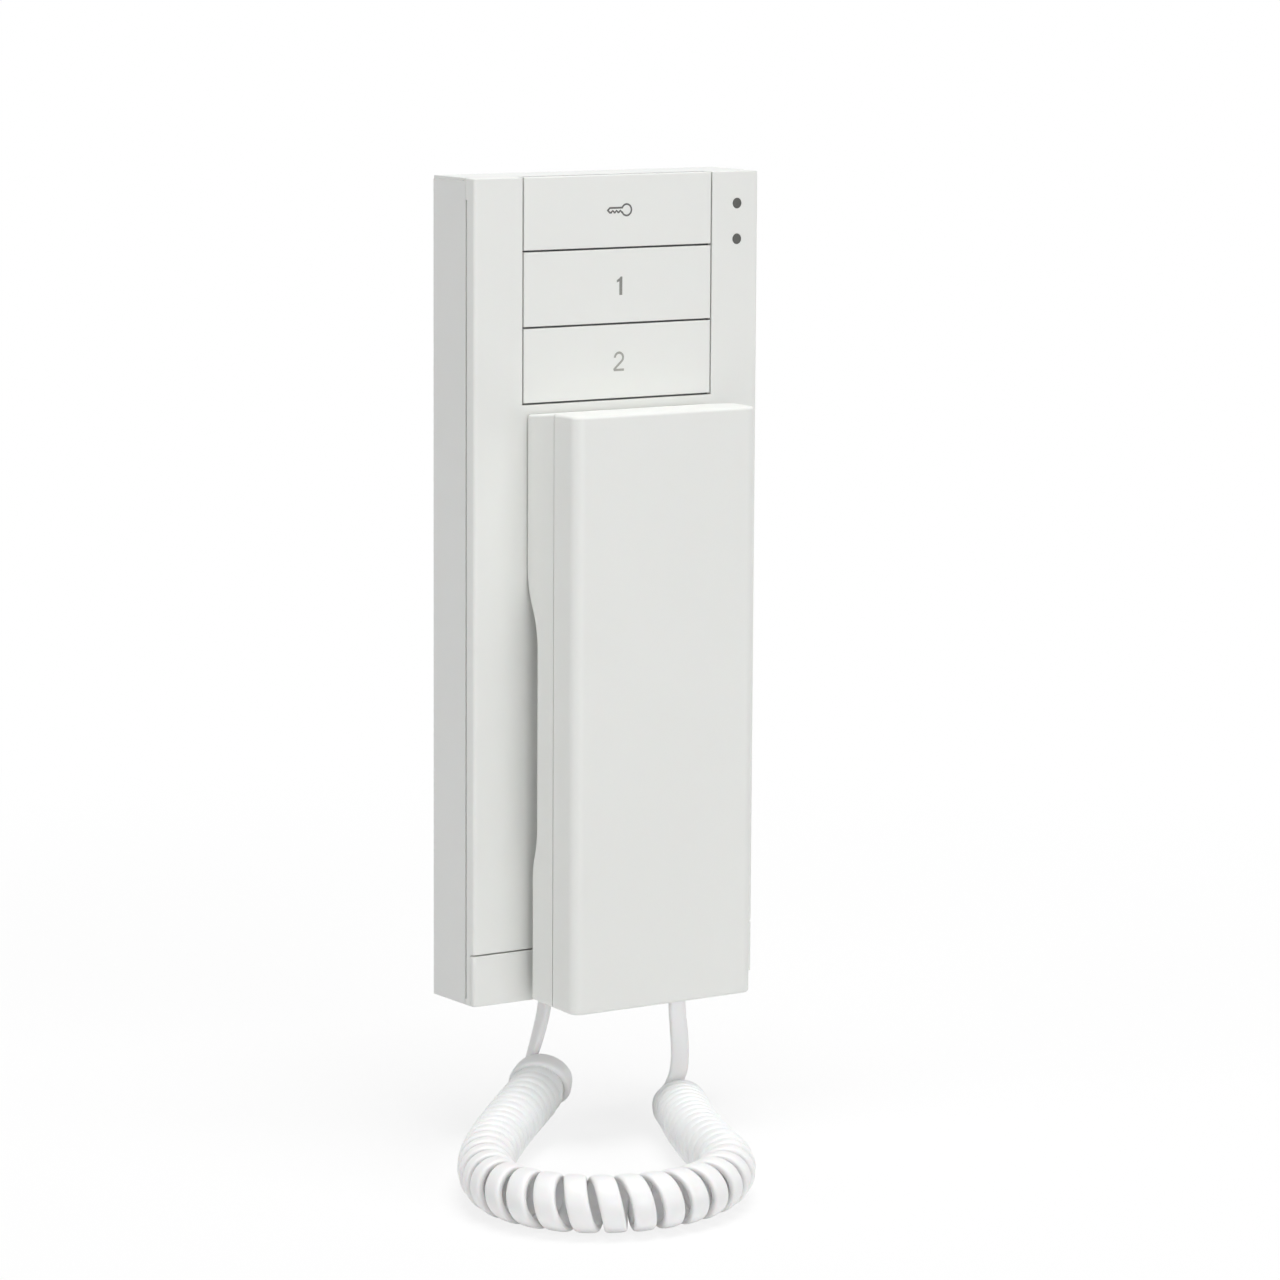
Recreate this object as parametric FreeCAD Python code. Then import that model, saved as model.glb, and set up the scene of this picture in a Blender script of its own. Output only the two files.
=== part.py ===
import FreeCAD, Part
import math
import os

# Indoor station of a door intercom: wall unit with three buttons, handset and curly cord.
# Millimetres. X to the right as seen from the front, +Y into the wall, +Z up.
# The origin is the middle of the wall unit's back face.

V = FreeCAD.Vector

# Wall unit
base_width = 90.0
base_height = 220.0
base_depth = 21.0
housing_depth = 16.6
wall = 2.0
cover_gap = 0.1
side_clearance = 0.2
base_edge_radius = 0.8
rim_step_width = 0.5
rim_step_height = 0.9
rim_notch_width = 1.5
rim_notch_depth = 2.0
reveal_width = 0.7
reveal_depth = 0.4
reveal_top_margin = 5.6
reveal_bottom_margin = 1.6
tongue_thickness = 0.9
tongue_depth = 6.0
tongue_end_margin = 5.0
lug_drop = 24.0
lug_length = 12.0
lug_thickness = 1.0
lug_reach = 0.5
lug_clearance = 0.1

# How far a rib, boss or tongue reaches into the wall that it grows from
root = 0.3

# Rounding of moulded edges that look sharp, and the tolerances for finding edges
fine_edge_radius = 0.2
tiny = 0.001
near = 0.01

# Fixing to the wall
flush_box_spacing = 60.0
flush_box_height = 48.0
slot_length = 8.0
fixing_hole_radius = 2.1
corner_hole_spacing_x = 66.0
corner_hole_spacing_z = 180.0
cable_entry_width = 30.0
cable_entry_height = 22.0
cable_entry_radius = 3.0

# Cross in every screw's head, as shares of the head's radius
screw_cross_length = 0.7
screw_cross_width = 0.12

# Lower cover and its screws
lower_cover_height = 14.0
lower_cover_thickness = 1.6
seam_gap = 0.35
seam_edge_radius = 0.3
seat_depth = 2.0
screw_column_inset = 12.0
screw_column_height = 7.0
screw_column_radius = 3.5
cover_screw_radius = 1.4
cover_screw_head_radius = 2.75
cover_screw_head_height = 1.6
cover_screw_length = 12.0
snap_to_screw = 8.5
snap_width = 6.0
snap_thickness = 1.2
snap_hook = 0.6
snap_clearance = 0.2

# Buttons
side_panel = 15.35
button_gap = 0.4
button_row_gap = 0.5
button_pitch = 20.1
button_block_height = 59.6
button_thickness = 2.0
button_edge_radius = 0.25
button_travel = 0.8
stem_radius = 2.5
stem_clearance = 0.4
leg_inset = 5.65
leg_width = 3.0
mark_depth = 0.4
mark_shift = 0.3
key_line = 0.48
key_bow_radius = 1.75
key_bow_x = 2.2
key_shaft_half = 0.85
key_tip_x = -4.1
key_tooth_count = 3
key_tooth_pitch = 1.2
key_tooth_width = 0.7
key_tooth_depth = 0.5
digit_1_height = 4.9
digit_1_stroke = 0.95
digit_1_flag = 1.75
digit_1_drop = 0.45
digit_2_height = 5.2
digit_2_stroke = 0.62
digit_2_radius = 1.6

# Frame behind the buttons
carrier_overlap = 3.95
carrier_thickness = 1.5
carrier_foot = 5.0
carrier_rim = 3.4
carrier_clearance = 0.2
stake_radius = 1.0
stake_head_radius = 1.6
stake_head_height = 0.5

# Main board and what it carries
board_side_margin = 4.0
board_bottom = 12.0
board_top_margin = 6.0
board_thickness = 1.6
board_from_wall = 9.6
board_boss_inset = 7.5
board_boss_low = 40.0
board_boss_middle = 115.0
board_boss_drop = 35.0
board_boss_radius = 3.0
board_screw_radius = 1.05
board_screw_head_radius = 2.25
board_screw_head_height = 1.5
board_screw_length = 6.0
thread_clearance = 0.1
switch_size = 6.0
switch_height = 3.8
plunger_radius = 1.7
plunger_height = 1.0
plunger_root = 0.6
plunger_clearance = 0.2
contact_gap = 0.05
led_inset = 6.9
led_drops = (18.2, 8.6)
light_pipe_radius = 1.4
light_pipe_clearance = 0.05
light_pipe_collar_radius = 2.2
light_pipe_collar = 1.0
led_width = 3.0
led_height = 1.6
led_thickness = 1.1
led_air = 0.3
buzzer_x = -18.0
buzzer_height = 95.0
buzzer_radius = 8.5
buzzer_thickness = 7.0
buzzer_port_radius = 1.5
buzzer_port_depth = 5.0
sound_hole_radius = 0.8
sound_hole_ring = 4.5
sound_hole_count = 6
terminal_count = 4
terminal_pitch = 7.0
terminal_depth = 6.6
terminal_height = 12.0
terminal_bottom = 70.0
terminal_screw_radius = 1.6
terminal_screw_length = 3.2
terminal_screw_level = 7.2
terminal_screw_sink = 0.5
terminal_slot_depth = 0.7
terminal_slot_width = 0.5
terminal_wire_radius = 1.5
terminal_wire_level = 2.6
terminal_wire_depth = 4.0
capacitor_radius = 3.15
capacitor_length = 6.6
capacitor_places = ((13.0, 100.0), (13.0, 112.0), (21.0, 106.0))
chip_places = ((14.0, 120.0, 6.0, 5.0), (-4.0, 136.0, 10.0, 7.5), (22.0, 140.0, 5.0, 4.0))
chip_thickness = 1.7
transformer_core = (13.0, 6.6, 7.0)
transformer_bobbin = (8.0, 5.4, 11.0)
transformer_place = (20.0, 112.0)
reed_radius = 1.1
reed_length = 14.0
reed_end_length = 3.0
reed_lift = 0.4
reed_lead = 0.8
reed_height = 42.0
magnet_x = 10.0
magnet_height = 28.0
magnet_radius = 5.0
magnet_thickness = 3.0
magnet_collar = 1.0
magnet_clearance = 0.1
keeper_size = (12.0, 1.0, 12.0)

# Rest of the handset on the wall unit
cradle_radius = 13.0
cradle_height = 1.5
cradle_clearance = 0.5
bumper_height = 22.0
bumper_head_radius = 4.5
bumper_stem_radius = 3.0
bumper_barb_radius = 3.6
bumper_barb_length = 0.8
bumper_edge_radius = 0.6
bumper_clearance = 0.1
rest_clearance = 0.3

# Handset
handset_narrower = 1.8
handset_length = 159.0
handset_front = 45.0
handset_split = 34.5
handset_edge_radius = 3.0
handset_rim_radius = 0.8
handset_back_radius = 0.6
handset_wall = 2.0
handset_seam = 0.3
handset_tongue = 1.0
handset_fit = 0.1
handset_tongue_depth = 1.4
top_slope = 1.3
bottom_slope = 0.9
grip_depth = 26.3
mouth_depth = 24.25
ear_bend = (117.0, 96.0)
mouth_bend = (47.0, 34.0)
ear_height = 136.0
ear_dish_depth = 2.0
ear_hole_radius = 1.0
ear_hole_rings = (0.0, 4.2, 8.4)
ear_hole_counts = (1, 6, 12)
receiver_radius = 17.0
receiver_rim = 3.4
receiver_magnet_radius = 11.0
receiver_magnet_length = 5.2
receiver_clearance = 0.3
receiver_collar = 1.2
receiver_collar_depth = 4.0
receiver_post_radius = 2.0
receiver_post_ring = 8.0
receiver_post_count = 3
gasket_thickness = 0.8
gasket_width = 3.0
microphone_x = -9.0
microphone_height = 20.0
microphone_radius = 4.85
microphone_length = 4.0
boot_radius = 6.2
boot_length = 6.0
boot_floor = 1.0
boot_clearance = 0.3
boot_collar = 1.0
boot_collar_depth = 3.0
boot_port_radius = 1.5
microphone_hole_radius = 0.7
microphone_hole_spacing = 2.6
handset_screw_heights = (54.0, 88.0)
handset_screw_radius = 1.25
handset_screw_head_radius = 2.75
handset_screw_head_height = 1.7
handset_screw_length = 10.0
handset_screw_sink = 2.2
handset_boss_radius = 4.2
handset_board_size = (26.0, 1.2, 24.0)
handset_board_place = (8.0, 32.0)
handset_board_clearance = 0.6
handset_board_screw_length = 4.5
handset_post_radius = 2.2
handset_post_x = 9.0
handset_post_z = 6.0
wire_radius = 0.5
wire_spacing = 2.2
wire_clearance = 0.1
wire_exit_run = 3.0

# The wires' own points, heights from the unit's bottom edge; the first and the last two lie on pieces
receiver_wire_points = (
    (4.6, -29.5, 122.0),
    (5.0, -34.9, 119.9),
    (6.2, -36.3, 114.6),
    (7.8, -36.0, 103.0),
    (9.6, -35.2, 81.0),
    (10.4, -34.9, 63.0),
    (10.0, -35.2, 52.0),
    (9.2, -36.1, 46.0),
    (9.0, -36.1, 41.0),
)
microphone_wire_points = (
    (-8.6, -31.4, 19.0),
    (-7.6, -35.9, 19.4),
    (-4.8, -36.1, 20.7),
    (-2.4, -36.1, 21.0),
)

# Cord sockets and plugs
socket_width = 11.6
socket_length = 16.0
socket_lift = 0.1
socket_back = 3.0
plug_width = 7.7
plug_thickness = 6.0
plug_length = 11.6
plug_latch_width = 3.2
plug_latch_thickness = 0.7
plug_latch_start = 1.5
plug_latch_end = 10.6
plug_edge_radius = 0.4
plug_clearance = 0.1
mouth_clearance = 0.2
plug_inset = 0.3
base_cord_inset = 30.0
base_cord_y = -9.4
handset_cord_x = 10.0
handset_cord_y = -36.2

# Cord: flat in life, here a round tube of about its section
cord_diameter = 3.2
coil_outer_radius = 7.3
coil_end_radius = 3.4
coil_closed_pitch = 4.3
coil_open_pitch = 6.7
coil_opens_at = 42.0
coil_closes_at = 210.0
coil_pitch_ramp = 35.0
coil_lead = 4.5
cord_end_run = 3.8

# The line that the middle of the curls follows, heights from the unit's bottom edge
coil_axis_points = (
    (-17.5, -12.5, -25.0),
    (-33.0, -26.0, -28.0),
    (-50.0, -42.0, -30.0),
    (-65.0, -59.5, -30.0),
    (-75.5, -76.5, -30.0),
    (-79.5, -92.0, -30.0),
    (-74.5, -108.0, -30.0),
    (-62.0, -117.5, -30.0),
    (-46.0, -120.0, -30.0),
    (-29.0, -114.0, -30.0),
    (-16.0, -100.0, -30.0),
    (-9.5, -80.0, -30.0),
    (-1.5, -61.0, -30.0),
    (6.0, -46.0, -30.0),
    (12.0, -34.6, -31.0),
)

# The straight ends' own points between plug and coil, heights from the unit's bottom edge
base_end_points = (
    (-16.3, -9.55, -7.1),
    (-18.4, -9.85, -10.1),
)
handset_end_points = (
    (10.7, -36.2, -7.2),
    (11.0, -35.3, -11.4),
    (10.4, -33.6, -15.5),
)

# Levels that follow from the sizes above
bottom_z = -base_height / 2
top_z = base_height / 2
half_width = base_width / 2
buttons_bottom = base_height - button_block_height
button_width = base_width - 2 * side_panel
handset_width = button_width - handset_narrower
leg_x = button_width / 2 - leg_inset
carrier_width = button_width + 2 * (button_gap + carrier_overlap)
screw_column_x = half_width - screw_column_inset
snap_x = screw_column_x - snap_to_screw
board_width = base_width - 2 * board_side_margin
board_top = base_height - board_top_margin
board_boss_x = half_width - board_boss_inset
board_boss_heights = (board_boss_low, board_boss_middle, base_height - board_boss_drop)
led_x = half_width - led_inset
led_heights = [base_height - drop for drop in led_drops]
base_cord_x = base_cord_inset - half_width
front_y = -base_depth
inner_front_y = front_y + wall
housing_y = -housing_depth
cover_y = housing_y - cover_gap
board_back_y = -board_from_wall
board_front_y = board_back_y - board_thickness
seam_z = bottom_z + lower_cover_height
seat_front_y = front_y + lower_cover_thickness + seat_depth
seat_back_y = seat_front_y + wall
window_half = button_width / 2 + button_gap
carrier_front_y = front_y + button_thickness + button_travel + carrier_clearance
carrier_back_y = carrier_front_y + carrier_thickness
plunger_top_y = board_front_y - switch_height - plunger_height
handset_rear_y = front_y - rest_clearance


def height(above_bottom):
    """Z of a level given from the bottom edge of the wall unit."""
    return bottom_z + above_bottom


def block(x0, x1, y0, y1, z0, z1):
    return Part.makeBox(x1 - x0, y1 - y0, z1 - z0, V(x0, y0, z0))


def rod(radius, x, z, y0, y1):
    """Round bar along Y."""
    return Part.makeCylinder(radius, y1 - y0, V(x, y0, z), V(0, 1, 0))


def mirrored_x(places):
    return [(side * x, z) for side in (-1, 1) for x, z in places]


def edges_along(shape, axis, at):
    """Straight edges along an axis whose middle passes the test."""
    found = []
    for edge in shape.Edges:
        a, b = edge.firstVertex().Point, edge.lastVertex().Point
        step = b - a
        lengths = [abs(step.x), abs(step.y), abs(step.z)]
        if lengths[axis] > 0.999 * max(step.Length, 1e-6) and at((a + b) * 0.5):
            found.append(edge)
    return found


def ring_places(x, z, radius, count):
    turn = 2 * math.pi / count
    return [(x + radius * math.cos(turn * i), z + radius * math.sin(turn * i)) for i in range(count)]


def export(name, shape):
    solid = shape.removeSplitter() if shape.ShapeType != "Compound" else shape
    solids = solid.Solids
    if len(solids) == 1:
        solid = solids[0]
    print(name, "solids", len(solids), "volume %.1f" % solid.Volume, "valid", solid.isValid())
    solid.exportStep(os.path.join("parts", name + ".step"))


# Wall unit: rear housing

def rear_housing():
    body = block(-half_width, half_width, housing_y, 0, bottom_z, top_z)
    body = body.makeFillet(base_edge_radius, edges_along(body, 2, lambda p: p.y > -near))
    inside = block(-half_width + wall, half_width - wall, housing_y, -wall, bottom_z + wall, top_z - wall)
    body = body.cut(inside)
    for side in (-1, 1):
        outer = side * half_width
        inner = side * (half_width - rim_step_width)
        step = block(min(outer, inner), max(outer, inner), housing_y, 0, top_z - rim_step_height, top_z)
        body = body.cut(step)
        inner = side * (half_width - rim_notch_width)
        notch = block(min(outer, inner), max(outer, inner), housing_y, housing_y + rim_notch_depth,
                      top_z - rim_step_height, top_z)
        body = body.cut(notch)
        body = body.cut(side_lug(side, lug_clearance))
    for x, z in mirrored_x([(screw_column_x, height(screw_column_height))]):
        body = body.fuse(rod(screw_column_radius, x, z, seat_back_y + cover_gap, -wall))
        thread = rod(cover_screw_radius + thread_clearance, x, z, seat_back_y, -wall - root)
        body = body.cut(thread)
    for x, z in mirrored_x([(corner_hole_spacing_x / 2, s * corner_hole_spacing_z / 2) for s in (-1, 1)]):
        body = body.cut(rod(fixing_hole_radius, x, z, -wall, 0))
    straight = slot_length - 2 * fixing_hole_radius
    level = height(flush_box_height)
    for side in (-1, 1):
        middle = side * flush_box_spacing / 2
        slot = block(middle - straight / 2, middle + straight / 2, -wall, 0,
                     level - fixing_hole_radius, level + fixing_hole_radius)
        for end in (-1, 1):
            slot = slot.fuse(rod(fixing_hole_radius, middle + end * straight / 2, level, -wall, 0))
        body = body.cut(slot)
    entry = block(-cable_entry_width / 2, cable_entry_width / 2, -wall, 0,
                  level - cable_entry_height / 2, level + cable_entry_height / 2)
    entry = entry.makeFillet(cable_entry_radius, edges_along(entry, 1, lambda p: True))
    body = body.cut(entry)
    mouth = socket_mouth(base_cord_x, base_cord_y, bottom_z, bottom_z + wall)
    body = body.cut(quarter_turned(mouth, base_cord_x, base_cord_y))
    return body


def side_lug(side, margin):
    """Lug on the cover's side tongue, or with a margin the pocket for it in the housing's side."""
    root = side * (half_width - wall - side_clearance - tongue_thickness / 2)
    tip = side * (half_width - wall + lug_reach + margin)
    middle_y = inner_front_y + tongue_depth - lug_thickness
    half = lug_thickness / 2 + margin
    z = top_z - lug_drop
    return block(min(root, tip), max(root, tip), middle_y - half, middle_y + half,
                 z - lug_length / 2 - margin, z + lug_length / 2 + margin)


def quarter_turned(shape, x, y):
    copy = shape.copy()
    copy.rotate(V(x, y, 0), V(0, 0, 1), 90)
    return copy


def socket_mouth(x, y, z0, z1):
    """Room for a cord plug through a wall."""
    reach_x = plug_width / 2 + mouth_clearance
    reach_y = plug_thickness / 2 + plug_latch_thickness + mouth_clearance
    return block(x - reach_x, x + reach_x, y - reach_y, y + reach_y, z0, z1)


# Wall unit: front cover

def front_cover():
    body = block(-half_width, half_width, front_y, cover_y, bottom_z, top_z)
    body = body.makeFillet(base_edge_radius, edges_along(body, 2, lambda p: p.y < front_y + near))
    inner_half = half_width - wall
    inside = block(-inner_half, inner_half, inner_front_y, cover_y, bottom_z + wall, top_z - wall)
    body = body.cut(inside)
    shelf_y = front_y + lower_cover_thickness + cover_gap
    body = body.cut(block(-half_width, half_width, front_y, shelf_y, bottom_z, seam_z))
    body = body.cut(block(-inner_half, inner_half, front_y, inner_front_y, bottom_z + wall, seam_z))
    window_z = height(buttons_bottom) - button_row_gap / 2
    body = body.cut(block(-window_half, window_half, front_y, cover_y, window_z, top_z))
    rim = [e for e in body.Edges if abs(e.BoundBox.YMin - front_y) < tiny and e.BoundBox.YLength < tiny
           and is_rim_edge(e.BoundBox, window_z)]
    body = body.makeFillet(fine_edge_radius, rim)

    tongue_out = half_width - wall - side_clearance
    for side in (-1, 1):
        a, b = side * tongue_out, side * (tongue_out - tongue_thickness)
        tongue = block(min(a, b), max(a, b), inner_front_y, inner_front_y + tongue_depth,
                       bottom_z + tongue_end_margin, top_z - tongue_end_margin)
        b = side * (half_width - wall / 2)
        web = block(min(a, b), max(a, b), inner_front_y - root, cover_y - root,
                    bottom_z + tongue_end_margin, top_z - tongue_end_margin)
        body = body.fuse(tongue).fuse(web).fuse(side_lug(side, 0))
        groove_x = side * (half_width - reveal_depth)
        groove = block(min(groove_x, side * half_width), max(groove_x, side * half_width),
                       cover_y - reveal_width, cover_y,
                       bottom_z + reveal_bottom_margin, top_z - reveal_top_margin)
        body = body.cut(groove)

    seat_z = bottom_z + wall + side_clearance
    seat = block(-tongue_out, tongue_out, seat_front_y, seat_back_y, seat_z, seam_z + wall)
    riser = block(-tongue_out, tongue_out, inner_front_y - root, seat_back_y, seam_z, seam_z + wall)
    floor = block(-tongue_out, tongue_out, shelf_y, seat_front_y + root, seat_z - wall / 2, seat_z + root)
    body = body.fuse(seat).fuse(riser).fuse(floor)
    for x, z in mirrored_x([(screw_column_x, height(screw_column_height))]):
        body = body.cut(rod(cover_screw_radius + thread_clearance, x, z, seat_front_y, seat_back_y))
    for side in (-1, 1):
        body = body.cut(snap_slot(side * snap_x))

    for x, z in board_boss_places():
        body = body.fuse(rod(board_boss_radius, x, z, inner_front_y - root, board_front_y))
        body = body.cut(rod(board_screw_radius + thread_clearance, x, z, inner_front_y, board_front_y))
    for x, z in stake_places():
        body = body.fuse(rod(stake_radius, x, z, inner_front_y - root, carrier_back_y))
        body = body.fuse(rod(stake_head_radius, x, z, carrier_back_y, carrier_back_y + stake_head_height))

    body = body.fuse(rod(cradle_radius, 0, height(ear_height), front_y - cradle_height, front_y))
    bumper_hole = bumper_stem_radius + bumper_clearance
    body = body.cut(rod(bumper_hole, 0, height(bumper_height), front_y, inner_front_y))
    for level in led_heights:
        hole = rod(light_pipe_radius + light_pipe_clearance, led_x, height(level), front_y, inner_front_y)
        body = body.cut(hole)
    sound = [(buzzer_x, height(buzzer_height))]
    sound += ring_places(buzzer_x, height(buzzer_height), sound_hole_ring, sound_hole_count)
    for x, z in sound:
        body = body.cut(rod(sound_hole_radius, x, z, front_y, inner_front_y))
    return body


def is_rim_edge(box, window_z):
    """Straight edges of the front face: along the top, round the window and along the lower seam."""
    level = box.ZLength < tiny and box.XLength > 1
    upright = box.XLength < tiny and box.ZLength > 1
    at_window = upright and abs(abs(box.XMin) - window_half) < tiny and box.ZMin > window_z - tiny
    at_level = level and min(abs(box.ZMin - z) for z in (top_z, window_z, seam_z)) < tiny
    return at_window or at_level


def snap_slot(x):
    z = height(screw_column_height)
    half = snap_width / 2 + snap_clearance
    return block(x - half, x + half, seat_front_y, seat_back_y,
                 z - snap_clearance, z + snap_thickness + snap_clearance)


def board_boss_places():
    return mirrored_x([(board_boss_x, height(level)) for level in board_boss_heights])


def stake_places():
    x = carrier_width / 2 - carrier_rim / 2
    low = height(buttons_bottom) - carrier_foot / 2
    high = height(buttons_bottom) + 2 * button_pitch
    return mirrored_x([(x, low), (x, high)])


# Wall unit: lower cover and screws

def lower_cover():
    inner_y = front_y + lower_cover_thickness
    top = seam_z - seam_gap
    body = block(-half_width, half_width, front_y, inner_y, bottom_z, top)
    body = body.makeFillet(base_edge_radius, edges_along(body, 2, lambda p: p.y < front_y + near))
    seam = [e for e in body.Edges if e.BoundBox.ZMin > top - tiny and e.BoundBox.YMax < front_y + tiny]
    body = body.makeFillet(seam_edge_radius, seam)
    z = height(screw_column_height)
    for side in (-1, 1):
        x = side * snap_x
        arm = block(x - snap_width / 2, x + snap_width / 2, inner_y - cover_gap,
                    seat_back_y + cover_gap + snap_hook, z, z + snap_thickness)
        hook = block(x - snap_width / 2, x + snap_width / 2, seat_back_y + cover_gap,
                     seat_back_y + cover_gap + snap_hook, z, z + snap_thickness + snap_hook)
        body = body.fuse(arm).fuse(hook)
    return body


def slotted_screw(radius, head_radius, head_height, length, x, z, seat_y, into):
    """Screw along Y with its head on seat_y; into is +1 towards the wall, -1 towards the front."""
    tip_y = seat_y + into * length
    crown_y = seat_y - into * head_height
    shank = rod(radius, x, z, min(seat_y, tip_y), max(seat_y, tip_y))
    head = rod(head_radius, x, z, min(seat_y, crown_y), max(seat_y, crown_y))
    slot_y = crown_y + into * head_height / 2
    reach = head_radius * screw_cross_length
    half = head_radius * screw_cross_width
    cross = block(x - reach, x + reach, min(crown_y, slot_y), max(crown_y, slot_y), z - half, z + half)
    return shank.fuse(head).cut(cross).cut(turned(cross, x, z))


def turned(shape, x, z):
    copy = shape.copy()
    copy.rotate(V(x, 0, z), V(0, 1, 0), 90)
    return copy


def cover_screws():
    places = mirrored_x([(screw_column_x, height(screw_column_height))])
    return Part.makeCompound([
        slotted_screw(cover_screw_radius, cover_screw_head_radius, cover_screw_head_height,
                      cover_screw_length, x, z, seat_front_y, 1)
        for x, z in places])


def board_screws():
    return Part.makeCompound([
        slotted_screw(board_screw_radius, board_screw_head_radius, board_screw_head_height,
                      board_screw_length, x, z, board_back_y, -1)
        for x, z in board_boss_places()])


# Buttons

def button_levels(row):
    """Lower and upper edge of a button; row 0 is the lowest, row 2 ends at the top of the unit."""
    low = height(buttons_bottom) + row * button_pitch + button_row_gap / 2
    high = top_z if row == 2 else low + button_pitch - button_row_gap
    return low, high


def button_centre(row):
    return height(buttons_bottom) + (row + 0.5) * button_pitch


def button(row, mark):
    low, high = button_levels(row)
    back_y = front_y + button_thickness
    body = block(-button_width / 2, button_width / 2, front_y, back_y, low, high)
    face_edges = [e for e in body.Edges if e.BoundBox.YMax < front_y + tiny]
    body = body.makeFillet(button_edge_radius, face_edges)
    body = body.cut(mark)
    z = button_centre(row)
    body = body.fuse(rod(stem_radius, 0, z, back_y - root, plunger_top_y - contact_gap))
    catch_y = carrier_back_y + contact_gap
    for side in (-1, 1):
        x = side * leg_x
        leg = block(x - leg_width / 2, x + leg_width / 2, back_y - root, catch_y + snap_hook,
                    z, z + snap_thickness)
        hook = block(x - leg_width / 2, x + leg_width / 2, catch_y, catch_y + snap_hook,
                     z, z + snap_thickness + snap_hook)
        body = body.fuse(leg).fuse(hook)
    return body


def button_carrier():
    half = carrier_width / 2
    foot_z = height(buttons_bottom) - carrier_foot
    head_z = top_z - wall - side_clearance
    plate = block(-half, half, carrier_front_y, carrier_back_y, foot_z, head_z)
    lip_half = window_half - side_clearance
    lip = block(-lip_half, lip_half, carrier_front_y, cover_y, head_z - root, top_z - side_clearance)
    plate = plate.fuse(lip)
    rim_inner = half - carrier_rim
    for side in (-1, 1):
        a, b = side * rim_inner, side * half
        plate = plate.fuse(block(min(a, b), max(a, b), inner_front_y, carrier_front_y, foot_z, head_z))
    foot_top = foot_z + carrier_foot - button_row_gap
    plate = plate.fuse(block(-half, half, inner_front_y, carrier_front_y, foot_z, foot_top))
    for row in range(3):
        z = button_centre(row)
        plate = plate.cut(rod(stem_radius + stem_clearance, 0, z, carrier_front_y, carrier_back_y))
        for side in (-1, 1):
            x = side * leg_x
            slot_half = leg_width / 2 + snap_clearance
            plate = plate.cut(block(x - slot_half, x + slot_half, carrier_front_y, carrier_back_y,
                                    z - snap_clearance, z + snap_thickness + snap_clearance))
    for x, z in stake_places():
        plate = plate.cut(rod(stake_radius + thread_clearance, x, z, inner_front_y, carrier_back_y))
    return plate


# Marks on the buttons, flush with the faces

def inlay(points):
    """Flat piece with straight edges, as deep as a mark."""
    outline = Part.makePolygon([V(x, front_y, z) for x, z in points + [points[0]]])
    return Part.Face(outline).extrude(V(0, mark_depth, 0))


def inlay_disc(radius, x, z):
    return rod(radius, x, z, front_y, front_y + mark_depth)


def placed(mark, row):
    mark = mark.removeSplitter()
    mark.translate(V(mark_shift, 0, button_centre(row)))
    return mark


def key_outline(inset):
    """Key lying on its side: round bow at the right, a shaft with teeth below, a point at the left."""
    half = key_shaft_half - inset
    tip = key_tip_x + inset * math.sqrt(2)
    shaft = [(key_bow_x, half), (tip + half, half), (tip, 0.0), (tip + half, -half)]
    tooth_x = key_tip_x + key_shaft_half + key_tooth_width
    for _ in range(key_tooth_count):
        shaft.append((tooth_x - inset / 2, -half))
        shaft.append((tooth_x + key_tooth_width / 2, -half + key_tooth_depth))
        shaft.append((tooth_x + key_tooth_width + inset / 2, -half))
        tooth_x += key_tooth_pitch
    shaft.append((key_bow_x, -half))
    return inlay_disc(key_bow_radius - inset, key_bow_x, 0).fuse(inlay(shaft))


def key_symbol():
    return placed(key_outline(0).cut(key_outline(key_line)), 2)


def digit_1():
    top = digit_1_height / 2
    flag_x = digit_1_stroke - digit_1_flag
    points = [(0.0, -top), (digit_1_stroke, -top), (digit_1_stroke, top), (digit_1_stroke * 0.4, top),
              (0.0, top - digit_1_drop), (flag_x, top - 2 * digit_1_drop),
              (flag_x, top - 3.4 * digit_1_drop), (0.0, top - 2.8 * digit_1_drop)]
    return placed(inlay(points), 1)


def digit_2():
    """Arch, slanting leg that runs on from the arch without a corner, and foot."""
    top = digit_2_height / 2
    r, stroke = digit_2_radius, digit_2_stroke
    arch_z = top - r
    angle = 2 * math.atan(r / (top + arch_z))
    out_x, out_z = math.cos(angle), -math.sin(angle)
    ring = inlay_disc(r, 0, arch_z).cut(inlay_disc(r - stroke, 0, arch_z))
    far = 3 * r
    upper = inlay([(0.0, arch_z), (far * out_x, arch_z + far * out_z), (far, arch_z),
                   (far, far), (-far, far), (-far, arch_z)])
    inner_x, inner_z = (r - stroke) * out_x, arch_z + (r - stroke) * out_z
    foot_z = -top + stroke
    foot_x = inner_x - (inner_z - foot_z) * math.tan(angle)
    leg = inlay([(inner_x, inner_z), (r * out_x, arch_z + r * out_z), (-r, -top), (foot_x, foot_z)])
    foot = inlay([(-r, -top), (r, -top), (r, foot_z), (foot_x, foot_z)])
    return placed(ring.common(upper).fuse(leg).fuse(foot), 0)


# Board and what it carries

def main_board():
    body = block(-board_width / 2, board_width / 2, board_front_y, board_back_y, height(board_bottom),
                 height(board_top))
    notch_half = socket_width / 2 + 2 * side_clearance
    notch_top = bottom_z + wall + socket_lift + socket_length + 2 * side_clearance
    body = body.cut(block(base_cord_x - notch_half, base_cord_x + notch_half, board_front_y, board_back_y,
                          height(board_bottom), notch_top))
    for x, z in board_boss_places():
        body = body.cut(rod(board_screw_radius + thread_clearance, x, z, board_front_y, board_back_y))
    return body


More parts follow.
